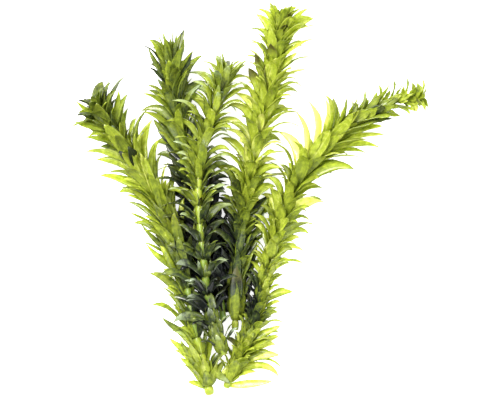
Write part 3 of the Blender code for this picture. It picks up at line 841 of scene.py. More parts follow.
def clasping_leaves(rings, shoot, route, chance):
    """The bases of old leaves round the stem."""
    bases = []
    for distance in [ring[0].distance for ring in rings]:
        if shoot.clasped[0] < distance < shoot.clasped[1]:
            start = chance.uniform(*CLASP_START)
            for number in range(CLASP_COUNT):
                angle = start + number * math.tau / CLASP_COUNT + either_way(chance, CLASP_STRAY)
                length = chance.uniform(*CLASP_LENGTHS)
                half_width = chance.uniform(*CLASP_WIDTHS)
                heights = (*CLASP_HEIGHTS, chance.uniform(*CLASP_TIPS))
                bases.append(leaf_at(route, distance, angle, length, half_width, heights, CLASP_PALER))
    return bases


def sheath_leaves(shoot, route, chance):
    """Smooth leaf bases that close round the foot of a stem."""
    leaves = []
    root, low, high = SHEATH_HEIGHTS
    for distance, length, half_width, height, paler in SHEATHS.get(shoot.name, ()):
        start = either_way(chance, SHEATH_STRAY)
        for turn in SHEATH_TURNS:
            heights = (root, height * low, height * high, height * chance.uniform(*SHEATH_TIPS))
            longer = length * chance.uniform(*SHEATH_LENGTHS)
            tone = paler + either_way(chance, SHEATH_TONE)
            angle = math.radians(start + turn)
            leaves.append(leaf_at(route, distance, angle, longer, half_width, heights, tone))
    return leaves


def placed_leaves(shoot, route, chance):
    """Single leaves that stand out from the rest."""
    leaves = []
    for distance, turn, along, reach, half_width, arch, paler in PLACED.get(shoot.name, ()):
        angle = math.radians(turn)
        rise = (mix(PLACED_ROOT, reach, share) for share in PLACED_RISE)
        heights = (PLACED_ROOT, *rise, reach)
        leaf = leaf_at(route, distance, angle, along, half_width, heights, paler)
        flat = math.degrees(math.sin(angle)) * FLAT_SHARE + chance.gauss(0.0, FLAT_STRAY)
        leaves.append(twisted(arched(leaf, route, arch), flat))
    return leaves


def old_leaves_in_painted_shade(shoot, route, chance):
    """Broad leaves low at both sides of a stem that others lie over, darkened by painted shade."""
    dark = []
    start, end, spacing = OLD_LEAVES_IN_PAINTED_SHADE.get(shoot.name, (0, 0, 1))
    for number in range(int((end - start) / spacing)):
        for side in (1, -1):
            distance = start + spacing * (number + chance.uniform(*OLD_STRAY))
            turn = math.radians(chance.uniform(*OLD_TURNS)) * side
            reach = chance.uniform(*OLD_REACHES)
            length = chance.uniform(*OLD_LENGTHS)
            half_width = chance.uniform(*OLD_WIDTHS)
            heights = (PLACED_ROOT, reach * OLD_RISE[0], reach * OLD_RISE[1], reach)
            leaf = leaf_at(route, distance, turn, length, half_width, heights)
            leaf = twisted(leaf, math.degrees(side) * chance.uniform(*OLD_FLAT))
            # The leaf is darkened by painted shade, with a random spread of tone
            dark.append(leaf._replace(paler=OLD_LEAF_PAINTED_SHADE + either_way(chance, OLD_TONE)))
    return dark


def grown(shoot, route):
    """The leaves of the lower stem, those of the crown, and the distances of all rings."""
    nodes = [f"whorl_{shoot.name}_{number:02d}" for number in range(1, shoot.whorls + 1)]
    lower = [leaf for node in nodes for leaf in leaves_on(node, route)]
    crown = leaves_on(f"crown_{shoot.name}", route)
    chance = random.Random(f"{SEED} {shoot.name}")
    rings = with_missing_rings(in_rings(lower + crown), shoot, route, chance)
    leaves = flat_list(rings) + leaves_between(rings, shoot, route, chance)
    leaves += bud_leaves(rings[-1], route, chance)
    leaves += strip_leaves(rings, shoot, route, chance)
    leaves += top_leaves(rings, shoot, route, chance)
    leaves = [natural(leaf, shoot, route, chance) for leaf in leaves]
    leaves += clasping_leaves(rings, shoot, route, chance) + sheath_leaves(shoot, route, chance)
    leaves += placed_leaves(shoot, route, chance) + old_leaves_in_painted_shade(shoot, route, chance)
    joints = [ring[0].distance for ring in rings]
    leaves = [planted(leaf, route, stem_radius(shoot, leaf.distance, joints)) for leaf in leaves]
    lower = [leaf for leaf in leaves if leaf.distance < shoot.stem_length]
    crown = [leaf for leaf in leaves if leaf.distance >= shoot.stem_length]
    return lower, crown, joints


def stem_radius(shoot, distance, joints):
    """The stem's radius: narrow where leaves grow, swollen between, and thin towards the tip."""
    youth = smooth_step((joints[-1] + APEX_PAST_RING - distance) / APEX_TAPER)
    swell = 0.0
    for start, end in zip([0.0, *joints], joints):
        if start <= distance < end:
            swell = math.sin(math.pi * (distance - start) / (end - start)) ** SWELL
    return mix(APEX_RADIUS, mix(*shoot.radii, swell), youth)


def tone_at(shoot, route, distance, point):
    """How light a leaf is at a point: by the shoot's own tones, and darker by painted shade where the bunch
    is thick.
    """
    tone = in_table(shoot.tones, route.length - distance)[0]
    for x, y, across, along, depth in SHADED_PLACES:
        away = math.hypot((point.x - x) / across, (point.y - y) / along)
        tone -= depth * (1 - smooth_step((away - SHADE_CORE) / (1 - SHADE_CORE))) * shoot.shade
    return tone


# Settings

def length_setting(name, description, default, precision=2):
    return bpy.props.FloatProperty(name=name, description=description, default=default, min=0.0,
                                   unit="LENGTH", precision=precision)


def share_setting(name, description, default):
    return bpy.props.FloatProperty(name=name, description=description, default=default, min=0.0,
                                   max=1.0, subtype="FACTOR")


def colour_setting(name, description, default):
    return bpy.props.FloatVectorProperty(name=name, description=description, default=default, size=3,
                                         min=0.0, max=1.0, subtype="COLOR")


class WaterweedLeafSettings(bpy.types.PropertyGroup):
    """Sizes and colours of the leaves."""

    thickness: length_setting("Thickness", "Thickness of a leaf at its root", 0.00034, 5)
    wave: length_setting("Wave", "Height of the waves along a leaf's edges", 0.00028, 5)
    fold: share_setting("Fold", "How far the edges bend down, as a share of half the leaf's width", 0.3)
    # The ramp from deep to pale carries the leaves' own tones and the painted shade of the bunch, which
    # pushes leaves towards the deep green
    deep: colour_setting("Deep green", "Colour of the oldest, shaded leaves", (0.010, 0.014, 0.013))
    dark: colour_setting("Dark green", "Colour of dark leaves", (0.060, 0.090, 0.024))
    green: colour_setting("Green", "Colour of full-grown leaves", (0.248, 0.318, 0.032))
    bright: colour_setting("Bright green", "Colour of leaves in full light", (0.480, 0.565, 0.052))
    pale: colour_setting("Pale green", "Colour of thin, pale leaves", (0.780, 0.790, 0.250))
    # The colour of the painted sheen, which stands in for the reflection on wet leaves
    painted_sheen_colour: colour_setting("Silvery green", "Colour of the sheen on wet leaves", (0.540, 0.640, 0.450))
    dried: colour_setting("Dried brown", "Colour of dried leaf tips", (0.125, 0.125, 0.022))


class WaterweedStemSettings(bpy.types.PropertyGroup):
    """Sizes and colours of the stems."""

    sides: bpy.props.IntProperty(name="Sides", description="Faces round a stem", default=16, min=6, max=32)
    spacing: length_setting("Spacing", "Distance between the rings of points along a stem", 0.0006, 5)
    skin: colour_setting("Skin", "Colour of a stem in full light", (0.315, 0.365, 0.024))
    shaded_skin: colour_setting("Shaded skin", "Colour of a stem deep in the bunch", (0.120, 0.190, 0.020))
    joint: colour_setting("Joint", "Colour of the lines where leaves grow", (0.100, 0.110, 0.015))
    cut: colour_setting("Cut", "Colour of the cut ends", (0.560, 0.500, 0.200))


class WaterweedStageSettings(bpy.types.PropertyGroup):
    """The floor, the light and the camera."""

    floor_size: length_setting("Floor size", "Length of the floor's sides", 6.0)
    floor_colour: colour_setting("Floor colour", "Colour of the floor", (0.90, 0.90, 0.90))
    floor_glow: bpy.props.FloatProperty(
        name="Floor glow", description="Strength of the light that the floor gives", default=0.8, min=0.0)
    view_width: length_setting("View width", "Width of what the camera sees at the bunch", 0.25)
    view_height: length_setting("View height", "Height of the camera over the bunch", 1.3)
    sky: bpy.props.FloatProperty(
        name="Sky light", description="Strength of the light from all round", default=0.85, min=0.0)
    key: bpy.props.FloatProperty(
        name="Key light", description="Power of the soft light over the bunch", default=30.0, min=0.0,
        unit="POWER")


# Node trees

class Nodes:
    """Adds nodes to a tree, joined to the sockets or set to the values that they are given."""

    def __init__(self, tree):
        self.tree = tree

    def add(self, kind, inputs=(), output=0, **settings):
        node = self.tree.nodes.new(kind)
        for name, value in settings.items():
            setattr(node, name, value)
        for key, value in dict(inputs).items():
            self.feed(node.inputs[key], value)
        return None if output is None else node.outputs[output]

    def feed(self, socket, value):
        if isinstance(value, bpy.types.NodeSocket):
            self.tree.links.new(value, socket)
        else:
            socket.default_value = value

    def math(self, operation, *terms):
        return self.add("ShaderNodeMath", enumerate(terms), operation=operation)

    def times(self, first, second):
        return self.math("MULTIPLY", first, second)

    def plus(self, first, second):
        return self.math("ADD", first, second)

    def vector(self, operation, *terms):
        return self.add("ShaderNodeVectorMath", enumerate(terms), operation=operation)

    def scaled(self, vector, factor):
        return self.add("ShaderNodeVectorMath", {0: vector, "Scale": factor}, operation="SCALE")

    def steps(self, value, low, high, start=0.0, end=1.0):
        """A value carried smoothly from one range to another."""
        inputs = {"Value": value, "From Min": low, "From Max": high, "To Min": start, "To Max": end}
        return self.add("ShaderNodeMapRange", inputs, interpolation_type="SMOOTHSTEP")


def new_group(name, kind, inputs, outputs):
    """An empty node group with named sockets, and the outputs of its input node by name."""
    tree = bpy.data.node_groups.new(name, kind)
    for socket, socket_kind, default in inputs:
        made = tree.interface.new_socket(socket, in_out="INPUT", socket_type=socket_kind)
        if default is not None:
            made.default_value = default
    for socket, socket_kind in outputs:
        tree.interface.new_socket(socket, in_out="OUTPUT", socket_type=socket_kind)
    given = tree.nodes.new("NodeGroupInput")
    return Nodes(tree), {socket[0]: given.outputs[socket[0]] for socket in inputs}


def named_tree(name, make):
    return bpy.data.node_groups.get(name) or make()


def named_material(name, make, *details):
    return bpy.data.materials.get(name) or make(name, *details)


def close_group(nodes, results):
    end = nodes.tree.nodes.new("NodeGroupOutput")
    for name, value in results.items():
        nodes.feed(end.inputs[name], value)
    return nodes.tree


def attribute(nodes, name, kind="FLOAT"):
    return nodes.add("GeometryNodeInputNamedAttribute", {"Name": name}, data_type=kind)


def stored(nodes, geometry, name, value, kind="FLOAT"):
    return nodes.add("GeometryNodeStoreNamedAttribute", {"Geometry": geometry, "Name": name, "Value": value},
                     data_type=kind, domain="POINT")


def blade_tree():
    """Sets a closed thin blade on each point and bends it by the numbers that the point carries."""
    nodes, given = new_group("Leaf blades", "GeometryNodeTree", [
        ("Geometry", "NodeSocketGeometry", None),
        ("Corners", "NodeSocketInt", 8),
        ("Sections", "NodeSocketInt", 8),
        ("Thickness", "NodeSocketFloat", 0.0003),
        ("Wave", "NodeSocketFloat", 0.0003),
        ("Fold", "NodeSocketFloat", 0.3),
        ("Material", "NodeSocketMaterial", None),
    ], [("Geometry", "NodeSocketGeometry")])
    cone = nodes.add("GeometryNodeMeshCone", {
        "Vertices": given["Corners"], "Side Segments": given["Sections"],
        "Radius Top": 0.0, "Radius Bottom": 1.0, "Depth": 1.0,
    })
    apart = nodes.add("ShaderNodeSeparateXYZ", {0: nodes.add("GeometryNodeInputPosition")}).node
    rest = nodes.math("SUBTRACT", 1.0, apart.outputs["Z"])
    cone = stored(nodes, cone, "share", apart.outputs["Z"])
    cone = stored(nodes, cone, "across", nodes.math("DIVIDE", apart.outputs["X"], rest))
    cone = stored(nodes, cone, "face", nodes.math("DIVIDE", apart.outputs["Y"], rest))
    leaves = nodes.add("GeometryNodeInstanceOnPoints", {"Points": given["Geometry"], "Instance": cone})
    leaves = nodes.add("GeometryNodeRealizeInstances", {"Geometry": leaves})

    share, across, face = [attribute(nodes, name) for name in ("share", "across", "face")]
    curve = [attribute(nodes, name, "FLOAT_VECTOR") for name in POINT_VECTORS[:4]]
    middle = curve[3]
    for power in (2, 1, 0):
        middle = nodes.vector("ADD", nodes.scaled(middle, share), curve[power])
    slope = nodes.scaled(curve[3], 3.0)
    slope = nodes.vector("ADD", nodes.scaled(slope, share), nodes.scaled(curve[2], 2.0))
    slope = nodes.vector("ADD", nodes.scaled(slope, share), curve[1])
    leaning, turning = [attribute(nodes, name, "FLOAT_VECTOR") for name in POINT_VECTORS[4:]]
    leaning = nodes.vector("ADD", leaning, nodes.scaled(turning, share))
    normal = nodes.vector("NORMALIZE", nodes.vector("CROSS_PRODUCT", slope, leaning))
    sideways = nodes.vector("NORMALIZE", nodes.vector("CROSS_PRODUCT", normal, slope))

    outline = nodes.add("ShaderNodeFloatCurve", {"Value": share})
    set_curve(outline.node.mapping, BLADE_OUTLINE)
    half_width = nodes.times(attribute(nodes, "half_width"), outline)
    edge = nodes.math("ABSOLUTE", across)
    fold = nodes.times(half_width, nodes.math("POWER", edge, FOLD_BEND))
    own_fold = nodes.times(given["Fold"], attribute(nodes, "fold"))
    fold = nodes.times(fold, own_fold)
    turn = nodes.plus(nodes.times(share, WAVE_TURN), attribute(nodes, "phase"))
    turn = nodes.plus(turn, nodes.times(across, WAVE_LAG))
    wave = nodes.times(nodes.math("SINE", turn), nodes.times(edge, outline))
    wave = nodes.times(wave, given["Wave"])
    thinner = nodes.math("SUBTRACT", 0.5, nodes.times(share, TIP_THINNER))
    body = nodes.times(face, nodes.times(given["Thickness"], thinner))
    lift = nodes.math("SUBTRACT", nodes.plus(body, wave), fold)
    sideways = nodes.scaled(sideways, nodes.times(across, half_width))
    place = nodes.vector("ADD", nodes.vector("ADD", middle, sideways), nodes.scaled(normal, lift))
    apart = nodes.add("ShaderNodeSeparateXYZ", {0: place}).node
    lowest = nodes.math("MULTIPLY_ADD", face, LOWEST_SPREAD, LOWEST_FACE)
    height = nodes.math("MAXIMUM", apart.outputs["Z"], lowest)
    place = nodes.add("ShaderNodeCombineXYZ", {0: apart.outputs["X"], 1: apart.outputs["Y"], 2: height})
    leaves = nodes.add("GeometryNodeSetPosition", {"Geometry": leaves, "Position": place})

    root_tone, tip_tone = attribute(nodes, "root_tone"), attribute(nodes, "tip_tone")
    change = nodes.times(nodes.math("SUBTRACT", tip_tone, root_tone), share)
    leaves = stored(nodes, leaves, "tone", nodes.plus(root_tone, change))
    return finished(nodes, leaves, given["Material"])


def finished(nodes, geometry, material):
    """Ends a tree with smooth, realized geometry in its material."""
    geometry = nodes.add("GeometryNodeSetShadeSmooth", {"Geometry": geometry})
    geometry = nodes.add("GeometryNodeRealizeInstances", {"Geometry": geometry})
    geometry = nodes.add("GeometryNodeSetMaterial", {"Geometry": geometry, "Material": material})
    return close_group(nodes, {"Geometry": geometry})


def set_curve(mapping, points):
    """Gives a curve mapping exactly these points."""
    curve = mapping.curves[0]
    for place in points[1:-1]:
        curve.points.new(*place)
    curve.points[0].location = points[0]
    curve.points[-1].location = points[-1]
    for point in curve.points:
        point.handle_type = "AUTO_CLAMPED"
    mapping.update()


def stem_tree():
    """Sweeps a round section along a line, as thick at each point as the point says."""
    nodes, given = new_group("Stem", "GeometryNodeTree", [
        ("Geometry", "NodeSocketGeometry", None),
        ("Sides", "NodeSocketInt", 16),
        ("Material", "NodeSocketMaterial", None),
    ], [("Geometry", "NodeSocketGeometry")])
    line = nodes.add("GeometryNodeMeshToCurve", {"Mesh": given["Geometry"]})
    section = nodes.add("GeometryNodeCurvePrimitiveCircle", {"Resolution": given["Sides"], "Radius": 1.0})
    stem = nodes.add("GeometryNodeCurveToMesh", {
        "Curve": line, "Profile Curve": section, "Scale": attribute(nodes, "radius_here"), "Fill Caps": True,
    })
    return finished(nodes, stem, given["Material"])


def plain_piece(carrier, tree, values, unused):
    """Replaces an object's mesh by what a tree makes of it, without the modifier or spent attributes."""
    modifier = carrier.modifiers.new("Shape", "NODES")
    modifier.node_group = tree
    for item in tree.interface.items_tree:
        if item.in_out == "INPUT" and item.name in values:
            modifier[item.identifier] = values[item.name]
    depsgraph = bpy.context.evaluated_depsgraph_get()
    mesh = bpy.data.meshes.new_from_object(carrier.evaluated_get(depsgraph), preserve_all_data_layers=True,
                                           depsgraph=depsgraph)
    carrier.modifiers.clear()
    spent = carrier.data
    mesh.name = carrier.name
    carrier.data = mesh
    bpy.data.meshes.remove(spent)
    for name in unused:
        if name in mesh.attributes:
            mesh.attributes.remove(mesh.attributes[name])
    if not mesh.polygons:
        raise RuntimeError(f"{carrier.name} came out empty")
    return carrier


def new_object(name, mesh):
    thing = bpy.data.objects.new(name, mesh)
    bpy.context.scene.collection.objects.link(thing)
    return thing


def points_with(name, places, edges, numbers, vectors):
    """An object of loose or joined points that carry named numbers and vectors."""
    mesh = bpy.data.meshes.new(name)
    mesh.from_pydata([tuple(place) for place in places], edges, [])
    for key, values in numbers.items():
        mesh.attributes.new(key, "FLOAT", "POINT").data.foreach_set("value", values)
    for key, values in vectors.items():
        flat = [part for value in values for part in value]
        mesh.attributes.new(key, "FLOAT_VECTOR", "POINT").data.foreach_set("vector", flat)
    return new_object(name, mesh)


# Materials

def new_material(name):
    material = bpy.data.materials.new(name)
    material.use_nodes = True
    material.node_tree.nodes.clear()
    return material, Nodes(material.node_tree)


def set_ramp(node, stops):
    ramp = node.color_ramp
    while len(ramp.elements) < len(stops):
        ramp.elements.new(0.5)
    for element, (place, colour) in zip(ramp.elements, stops):
        element.position = place
        element.color = (*colour, 1.0)


def shader_attribute(nodes, name):
    return nodes.add("ShaderNodeAttribute", attribute_name=name, output="Fac")


def added(nodes, total, *parts):
    """The total with each part, by its factor, added to it."""
    for part, factor in parts:
        total = nodes.math("MULTIPLY_ADD", part, factor, total)
    return total


def tissue_group():
    """Mottling and fine cells, which leaves and stems share."""
    nodes, given = new_group("Plant tissue", "ShaderNodeTree", [
        ("Patch Scale", "NodeSocketFloat", 300.0),
        ("Cell Scale", "NodeSocketFloat", 2600.0),
    ], [("Patches", "NodeSocketFloat"), ("Cells", "NodeSocketFloat")])
    place = nodes.add("ShaderNodeTexCoord", output="Object")
    patches = nodes.add("ShaderNodeTexNoise", {
        "Vector": place, "Scale": given["Patch Scale"], "Detail": 4.0, "Roughness": 0.62,
    })
    cells = {"Vector": place, "Scale": given["Cell Scale"]}
    cells = nodes.add("ShaderNodeTexVoronoi", cells, output="Distance")
    return close_group(nodes, {"Patches": patches, "Cells": cells})


def add_tissue(nodes, patch_scale):
    """The patches and cells of the shared tissue at this scale of patches."""
    tissue = nodes.add("ShaderNodeGroup", node_tree=named_tree("Plant tissue", tissue_group)).node
    tissue.inputs["Patch Scale"].default_value = patch_scale
    return tissue.outputs["Patches"], tissue.outputs["Cells"]


def leaf_material(name, settings, patch_scale, mottling):
    """Thin wet leaf tissue with a midrib, mottling, edges lightened by painted light, dried tips, a painted
    sheen and light coming through.
    """
    material, nodes = new_material(name)
    share, across, tone, dry, silver, gloss = [
        shader_attribute(nodes, key) for key in ("share", "across", "tone", "dry", "silver", "gloss")]
    patches, cells = add_tissue(nodes, patch_scale)
    uneven = nodes.math("SUBTRACT", patches, 0.5)
    edge = nodes.math("ABSOLUTE", across)
    veins = nodes.math("SINE", nodes.times(across, VEIN_TURN))
    midrib = nodes.steps(edge, *MIDRIB, 1.0, 0.0)
    # The tone, which carries the bunch's painted shade and the painted light at the tips, takes the
    # mottling, midrib, veins and cells, and painted light along the blade's rim
    tone = added(nodes, tone, (uneven, mottling), (midrib, MIDRIB_TONE), (veins, VEIN_TONE),
                 (nodes.steps(edge, *PAINTED_RIM_SPAN), PAINTED_RIM_LIGHT), (cells, CELL_TONE))
    ramp = nodes.add("ShaderNodeValToRGB", {"Fac": tone})
    set_ramp(ramp.node, ((0.0, settings.deep), (0.25, settings.dark), (0.5, settings.green),
                         (0.75, settings.bright), (1.0, settings.pale)))
    dryness = nodes.steps(added(nodes, share, (uneven, DRY_RAGGED)), *DRY_STRETCH)
    colour = mixed(nodes, nodes.times(dryness, dry), ramp, settings.dried)
    # Painted sheen: a pale bluish green towards the tips of some leaves, in place of the reflection on their
    # wet film
    sheen = nodes.steps(added(nodes, share, (uneven, PAINTED_SHEEN_RAGGED)), *PAINTED_SHEEN_STRETCH)
    colour = mixed(nodes, nodes.times(sheen, silver), colour, settings.painted_sheen_colour)
    lit = nodes.add("ShaderNodeHueSaturation", {"Color": colour, "Hue": 0.495, "Value": 1.15})
    relief = added(nodes, cells, (midrib, MIDRIB_RELIEF), (veins, VEIN_RELIEF))
    bump = nodes.add("ShaderNodeBump", {"Strength": 0.35, "Distance": 0.00012, "Height": relief})
    skin = nodes.add("ShaderNodeBsdfPrincipled", {
        "Base Color": colour, "Normal": bump, "IOR": WATER_IOR,
        "Roughness": nodes.math("MULTIPLY_ADD", patches, *LEAF_ROUGHNESS),
        "Coat Weight": nodes.math("MULTIPLY_ADD", gloss, *LEAF_FILM),
        "Coat Roughness": 0.16, "Coat IOR": 1.8,
    })
    through = nodes.add("ShaderNodeBsdfTranslucent", {"Color": lit})
    both = nodes.add("ShaderNodeMixShader", {0: LIGHT_THROUGH, 1: skin, 2: through})
    nodes.add("ShaderNodeOutputMaterial", {"Surface": both}, output=None)
    return material


def mixed(nodes, share, start, end):
    """Two colours mixed, where the second is a plain one."""
    node = nodes.tree.nodes.new("ShaderNodeMix")
    node.data_type = "RGBA"
    sockets = {socket.identifier: socket for socket in node.inputs}
    nodes.feed(sockets["Factor_Float"], share)
    nodes.feed(sockets["A_Color"], start)
    nodes.feed(sockets["B_Color"], (*end, 1.0))
    return {socket.identifier: socket for socket in node.outputs}["Result_Color"]


def stem_material(name, settings):
    """Smooth juicy stem skin with fine cells, darker joints, a pale cut end and painted shade deep in the
    bunch.
    """
    material, nodes = new_material(name)
    patches, cells = add_tissue(nodes, STEM_PATCHES)
    # The tone carries the bunch's painted shade, which turns the skin towards the shaded skin colour
    ramp = nodes.add("ShaderNodeValToRGB", {"Fac": shader_attribute(nodes, "tone")})
    set_ramp(ramp.node, ((0.2, settings.shaded_skin), (0.75, settings.skin)))
    colour = mixed(nodes, nodes.steps(patches, *STEM_MOTTLING), ramp, settings.shaded_skin)
    joint = nodes.times(shader_attribute(nodes, "joint"), JOINT_TONE)
    colour = mixed(nodes, joint, colour, settings.joint)
    colour = mixed(nodes, shader_attribute(nodes, "cut"), colour, settings.cut)
    bump = nodes.add("ShaderNodeBump", {"Strength": 0.3, "Distance": 0.0002, "Height": cells})
    skin = nodes.add("ShaderNodeBsdfPrincipled", {
        "Base Color": colour, "Normal": bump, "IOR": WATER_IOR,
        "Roughness": nodes.math("MULTIPLY_ADD", patches, *STEM_ROUGHNESS),
        "Subsurface Weight": 0.2, "Subsurface Scale": 0.002, "Coat Weight": 0.06,
    })
    nodes.add("ShaderNodeOutputMaterial", {"Surface": skin}, output=None)
    return material


def floor_material(settings):
    material, nodes = new_material("Pale floor")
    skin = nodes.add("ShaderNodeBsdfPrincipled", {
        "Base Color": (*settings.floor_colour, 1.0), "Roughness": 0.7,
        "Emission Color": (1.0, 1.0, 1.0, 1.0), "Emission Strength": settings.floor_glow,
    })
    nodes.add("ShaderNodeOutputMaterial", {"Surface": skin}, output=None)
    return material


# Operators

def shoots_with_routes():
    """Each shoot with its route, moved to where the CAD model holds it."""
    routes = [Route(shoot.route) for shoot in SHOOTS]
    shift = cut_end(f"stem_{SHOOTS[0].name}") - routes[0].point(0)
    for route in routes:
        route.move(shift)
    return list(zip(SHOOTS, routes))


def nearest_leaves(leaves, places):
    """The numbers of the leaves whose tips are nearest to the places, one for each within reach."""
    found = set()
    for x, y in places:
        away = [math.hypot(leaf.line[3].x - x, leaf.line[3].y - y) for leaf in leaves]
        number = min(range(len(leaves)), key=away.__getitem__)
        if away[number] < TIP_REACH:
            found.add(number)
    return found


def leaf_numbers(leaf, shoot, route, dried, pale, chance):
    """The numbers that the point of a leaf carries."""
    numbers = {
        "half_width": leaf.half_width * MM,
        "fold": chance.uniform(*FOLDS),
        "phase": chance.uniform(0.0, math.tau),
    }
    own = chance.gauss(0.0, OWN_TONE) + leaf.paler
    own += PALER * pale - DRIER * dried
    # Painted light lightens each leaf's tip, more on leaves at the stem's sides, and painted shade darkens
    # its root
    rim = PAINTED_RIM_LIGHT * abs(math.sin(leaf.angle))
    numbers["root_tone"] = tone_at(shoot, route, leaf.distance, leaf.line[0]) + own - shoot.root_shade
    numbers["tip_tone"] = tone_at(shoot, route, leaf.distance, leaf.line[3]) + own + PAINTED_TIP_LIGHT + rim
    numbers["gloss"] = chance.uniform(*(WET_GLOSS if shoot.name == WETTEST else DRY_GLOSS))
    # How strong the painted sheen is on this leaf, if it has one
    silver = chance.uniform(*PAINTED_SHEEN_STRENGTHS)
    numbers["silver"] = silver * (chance.random() < PAINTED_SHEEN_SHARES.get(shoot.name, 0.0))
    if chance.random() < DARK_TIPS:
        numbers["tip_tone"] -= DARK_TIP
    numbers["dry"] = 1.0 if dried else chance.choice(DRYNESS)
    return numbers


def leaf_vectors(leaf):
    """The numbers of a leaf's middle line as a cubic, and its way across and how that turns."""
    turn = (leaf.across[1] - leaf.across[0]) / (STATIONS[2] - STATIONS[1])
    curve = [value * MM for value in curve_numbers(leaf.line)]
    return dict(zip(POINT_VECTORS, (*curve, leaf.across[0] - turn * STATIONS[1], turn)))


def grow_leaves(name, shoot, route, leaves, settings, look):
    """Builds one piece of these leaves."""
    chance = random.Random(f"{SEED} {name}")
    dried = nearest_leaves(leaves, DRIED_TIPS.get(shoot.name, ()))
    pale = nearest_leaves(leaves, PALE_TIPS.get(shoot.name, ()))
    places, numbers, vectors = [], [], []
    for number, leaf in enumerate(leaves):
        if number in dried:
            leaf = turned(leaf, route, 0.0, 0.0, DRIED_SIZE)
            leaf = leaf._replace(half_width=leaf.half_width * DRIED_WIDTH)
        if number in pale:
            leaf = turned(leaf, route, 0.0, 0.0, PALE_SIZE)
        places.append(leaf.line[0] * MM)
        numbers.append(leaf_numbers(leaf, shoot, route, number in dried, number in pale, chance))
        vectors.append(leaf_vectors(leaf))
    carrier = points_with(name, places, [], {key: [row[key] for row in numbers] for key in POINT_NUMBERS},
                          {key: [row[key] for row in vectors] for key in POINT_VECTORS})
    return plain_piece(carrier, named_tree("Leaf blades", blade_tree), {
        "Thickness": settings.thickness, "Wave": settings.wave, "Fold": settings.fold, "Material": look,
    }, SPENT)


def stem_numbers(shoot, route, distances, joints):
    """The numbers that the points of a stem carry."""
    radii = [stem_radius(shoot, distance, joints) for distance in distances]
    for number, share in enumerate(RIM_SHARES):
        radii[number] *= share
    nearest = [min(joints, key=lambda joint: abs(joint - distance)) for distance in distances]
    return {
        "radius_here": [radius * MM for radius in radii],
        "joint": [max(1 - abs(joint - distance) / JOINT_REACH, 0.0)
                  for joint, distance in zip(nearest, distances)],
        "cut": [1 - smooth_step(distance / CUT_REACH) for distance in distances],
        "tone": [tone_at(shoot, route, distance, route.point(distance)) + shoot.stem_paler
                 for distance in distances],
    }


class WaterweedStems(bpy.types.Operator):
    """Build the five stems, each from its cut end to its tip"""

    bl_idname = "waterweed.stems"
    bl_label = "Build Stems"

    def execute(self, context):
        settings = context.scene.waterweed_stems
        look = named_material("Waterweed stem", stem_material, settings)
        for shoot, route in shoots_with_routes():
            joints = grown(shoot, route)[2]
            step = settings.spacing / MM
            count = int((joints[-1] + STEM_PAST_RING) / step)
            distances = [*RIM_DISTANCES, *(step * number for number in range(1, count))]
            places = [route.point(distance) * MM for distance in distances]
            edges = [(number, number + 1) for number in range(len(places) - 1)]
            numbers = stem_numbers(shoot, route, distances, joints)
            carrier = points_with(f"fine_stem_{shoot.name}", places, edges, numbers, {})
            values = {"Sides": settings.sides, "Material": look}
            piece = plain_piece(carrier, named_tree("Stem", stem_tree), values, ["radius_here"])
            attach(piece, "root")
            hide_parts(f"stem_{shoot.name}")
        return {"FINISHED"}


class WaterweedLowerLeaves(bpy.types.Operator):
    """Build the leaves of the lower stems, one piece for each shoot"""

    bl_idname = "waterweed.lower_leaves"
    bl_label = "Build Lower Leaves"

    def execute(self, context):
        settings = context.scene.waterweed_leaves
        look = named_material("Full-grown leaf", leaf_material, settings, *FULL_GROWN_PATCHES)
        for shoot, route in shoots_with_routes():
            lower = grown(shoot, route)[0]
            piece = grow_leaves(f"lower_leaves_{shoot.name}", shoot, route, lower, settings, look)
            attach(piece, "root")
            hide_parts(*[f"whorl_{shoot.name}_{number:02d}" for number in range(1, shoot.whorls + 1)])
        return {"FINISHED"}


class WaterweedCrowns(bpy.types.Operator):
    """Build the young leaves of the crowns, one piece for each shoot"""

    bl_idname = "waterweed.crowns"
    bl_label = "Build Crowns"

    def execute(self, context):
        settings = context.scene.waterweed_leaves
        look = named_material("Young leaf", leaf_material, settings, *YOUNG_PATCHES)
        for shoot, route in shoots_with_routes():
            crown = grown(shoot, route)[1]
            piece = grow_leaves(f"crown_leaves_{shoot.name}", shoot, route, crown, settings, look)
            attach(piece, "root")
            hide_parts(f"crown_{shoot.name}")
        return {"FINISHED"}


class WaterweedStage(bpy.types.Operator):
    """Lay the floor, set the lights and place the camera over the bunch"""

    bl_idname = "waterweed.stage"
    bl_label = "Set Stage"

    def execute(self, context):
        settings = context.scene.waterweed_stage
        half = settings.floor_size / 2
        corners = [(-half, -half, 0), (half, -half, 0), (half, half, 0), (-half, half, 0)]
        mesh = bpy.data.meshes.new("floor")
        mesh.from_pydata(corners, [], [(0, 1, 2, 3)])
        mesh.materials.append(floor_material(settings))
        new_object("floor", mesh)

        world = bpy.data.worlds.new("Soft studio")
        world.use_nodes = True
        sky = world.node_tree.nodes["Background"]
        sky.inputs["Color"].default_value = (1.0, 1.0, 1.0, 1.0)
        sky.inputs["Strength"].default_value = settings.sky
        context.scene.world = world
        for name, place, size, share, colour in LIGHTS:
            soft_light(name, place, size, settings.key * share, colour)

        camera = bpy.data.cameras.new("camera")
        camera.sensor_width = 36.0
        camera.lens = camera.sensor_width * settings.view_height / settings.view_width
        camera.clip_start = 0.05
        view = new_object("camera", camera)
        middle = shoots_with_routes()[0][1].point(0) - Vector(SHOOTS[0].route[0])
        view.location = (middle.x * MM, middle.y * MM, settings.view_height + VIEW_PLANE * MM)
        context.scene.camera = view
        context.scene.view_settings.view_transform = "Standard"
        return {"FINISHED"}


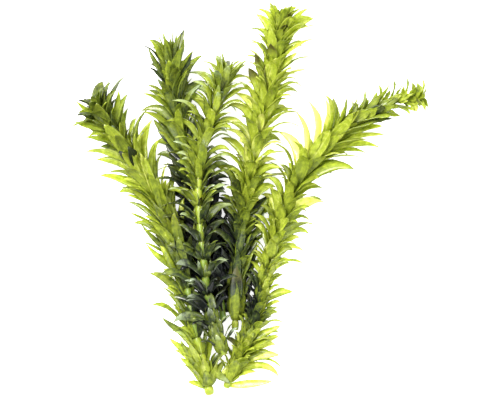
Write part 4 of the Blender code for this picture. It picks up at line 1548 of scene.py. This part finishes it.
def soft_light(name, place, size, power, colour):
    """A square lamp that faces the middle of the bunch."""
    lamp = bpy.data.lights.new(name, "AREA")
    lamp.size = size
    lamp.energy = power
    lamp.color = colour
    light = new_object(name, lamp)
    light.location = place
    light.rotation_euler = (-Vector(place)).to_track_quat("-Z", "Y").to_euler()


# Panel and start

class WaterweedPanel(bpy.types.Panel):
    """Lists the steps of the bunch and their settings"""

    bl_idname = "VIEW3D_PT_waterweed"
    bl_label = "Brazilian Waterweed"
    bl_space_type = "VIEW_3D"
    bl_region_type = "UI"
    bl_category = "Waterweed"

    def draw(self, context):
        steps = ((WaterweedStems, "waterweed_stems"), (WaterweedLowerLeaves, "waterweed_leaves"),
                 (WaterweedCrowns, None), (WaterweedStage, "waterweed_stage"))
        for operator, settings in steps:
            column = self.layout.column()
            column.operator(operator.bl_idname)
            if settings:
                group = getattr(context.scene, settings)
                for name in group.bl_rna.properties.keys():
                    if name not in ("rna_type", "name"):
                        column.prop(group, name)


CLASSES = (WaterweedLeafSettings, WaterweedStemSettings, WaterweedStageSettings, WaterweedStems,
           WaterweedLowerLeaves, WaterweedCrowns, WaterweedStage, WaterweedPanel)


def register():
    for made in CLASSES:
        bpy.utils.register_class(made)
    bpy.types.Scene.waterweed_leaves = bpy.props.PointerProperty(type=WaterweedLeafSettings)
    bpy.types.Scene.waterweed_stems = bpy.props.PointerProperty(type=WaterweedStemSettings)
    bpy.types.Scene.waterweed_stage = bpy.props.PointerProperty(type=WaterweedStageSettings)


def unregister():
    del bpy.types.Scene.waterweed_stage
    del bpy.types.Scene.waterweed_stems
    del bpy.types.Scene.waterweed_leaves
    for made in reversed(CLASSES):
        bpy.utils.unregister_class(made)


def main():
    for thing in ("Cube", "Light", "Camera"):
        if thing in bpy.data.objects:
            bpy.data.objects.remove(bpy.data.objects[thing])
    register()
    bpy.ops.waterweed.stems()
    bpy.ops.waterweed.lower_leaves()
    bpy.ops.waterweed.crowns()
    bpy.ops.waterweed.stage()


if __name__ == "__main__":
    main()
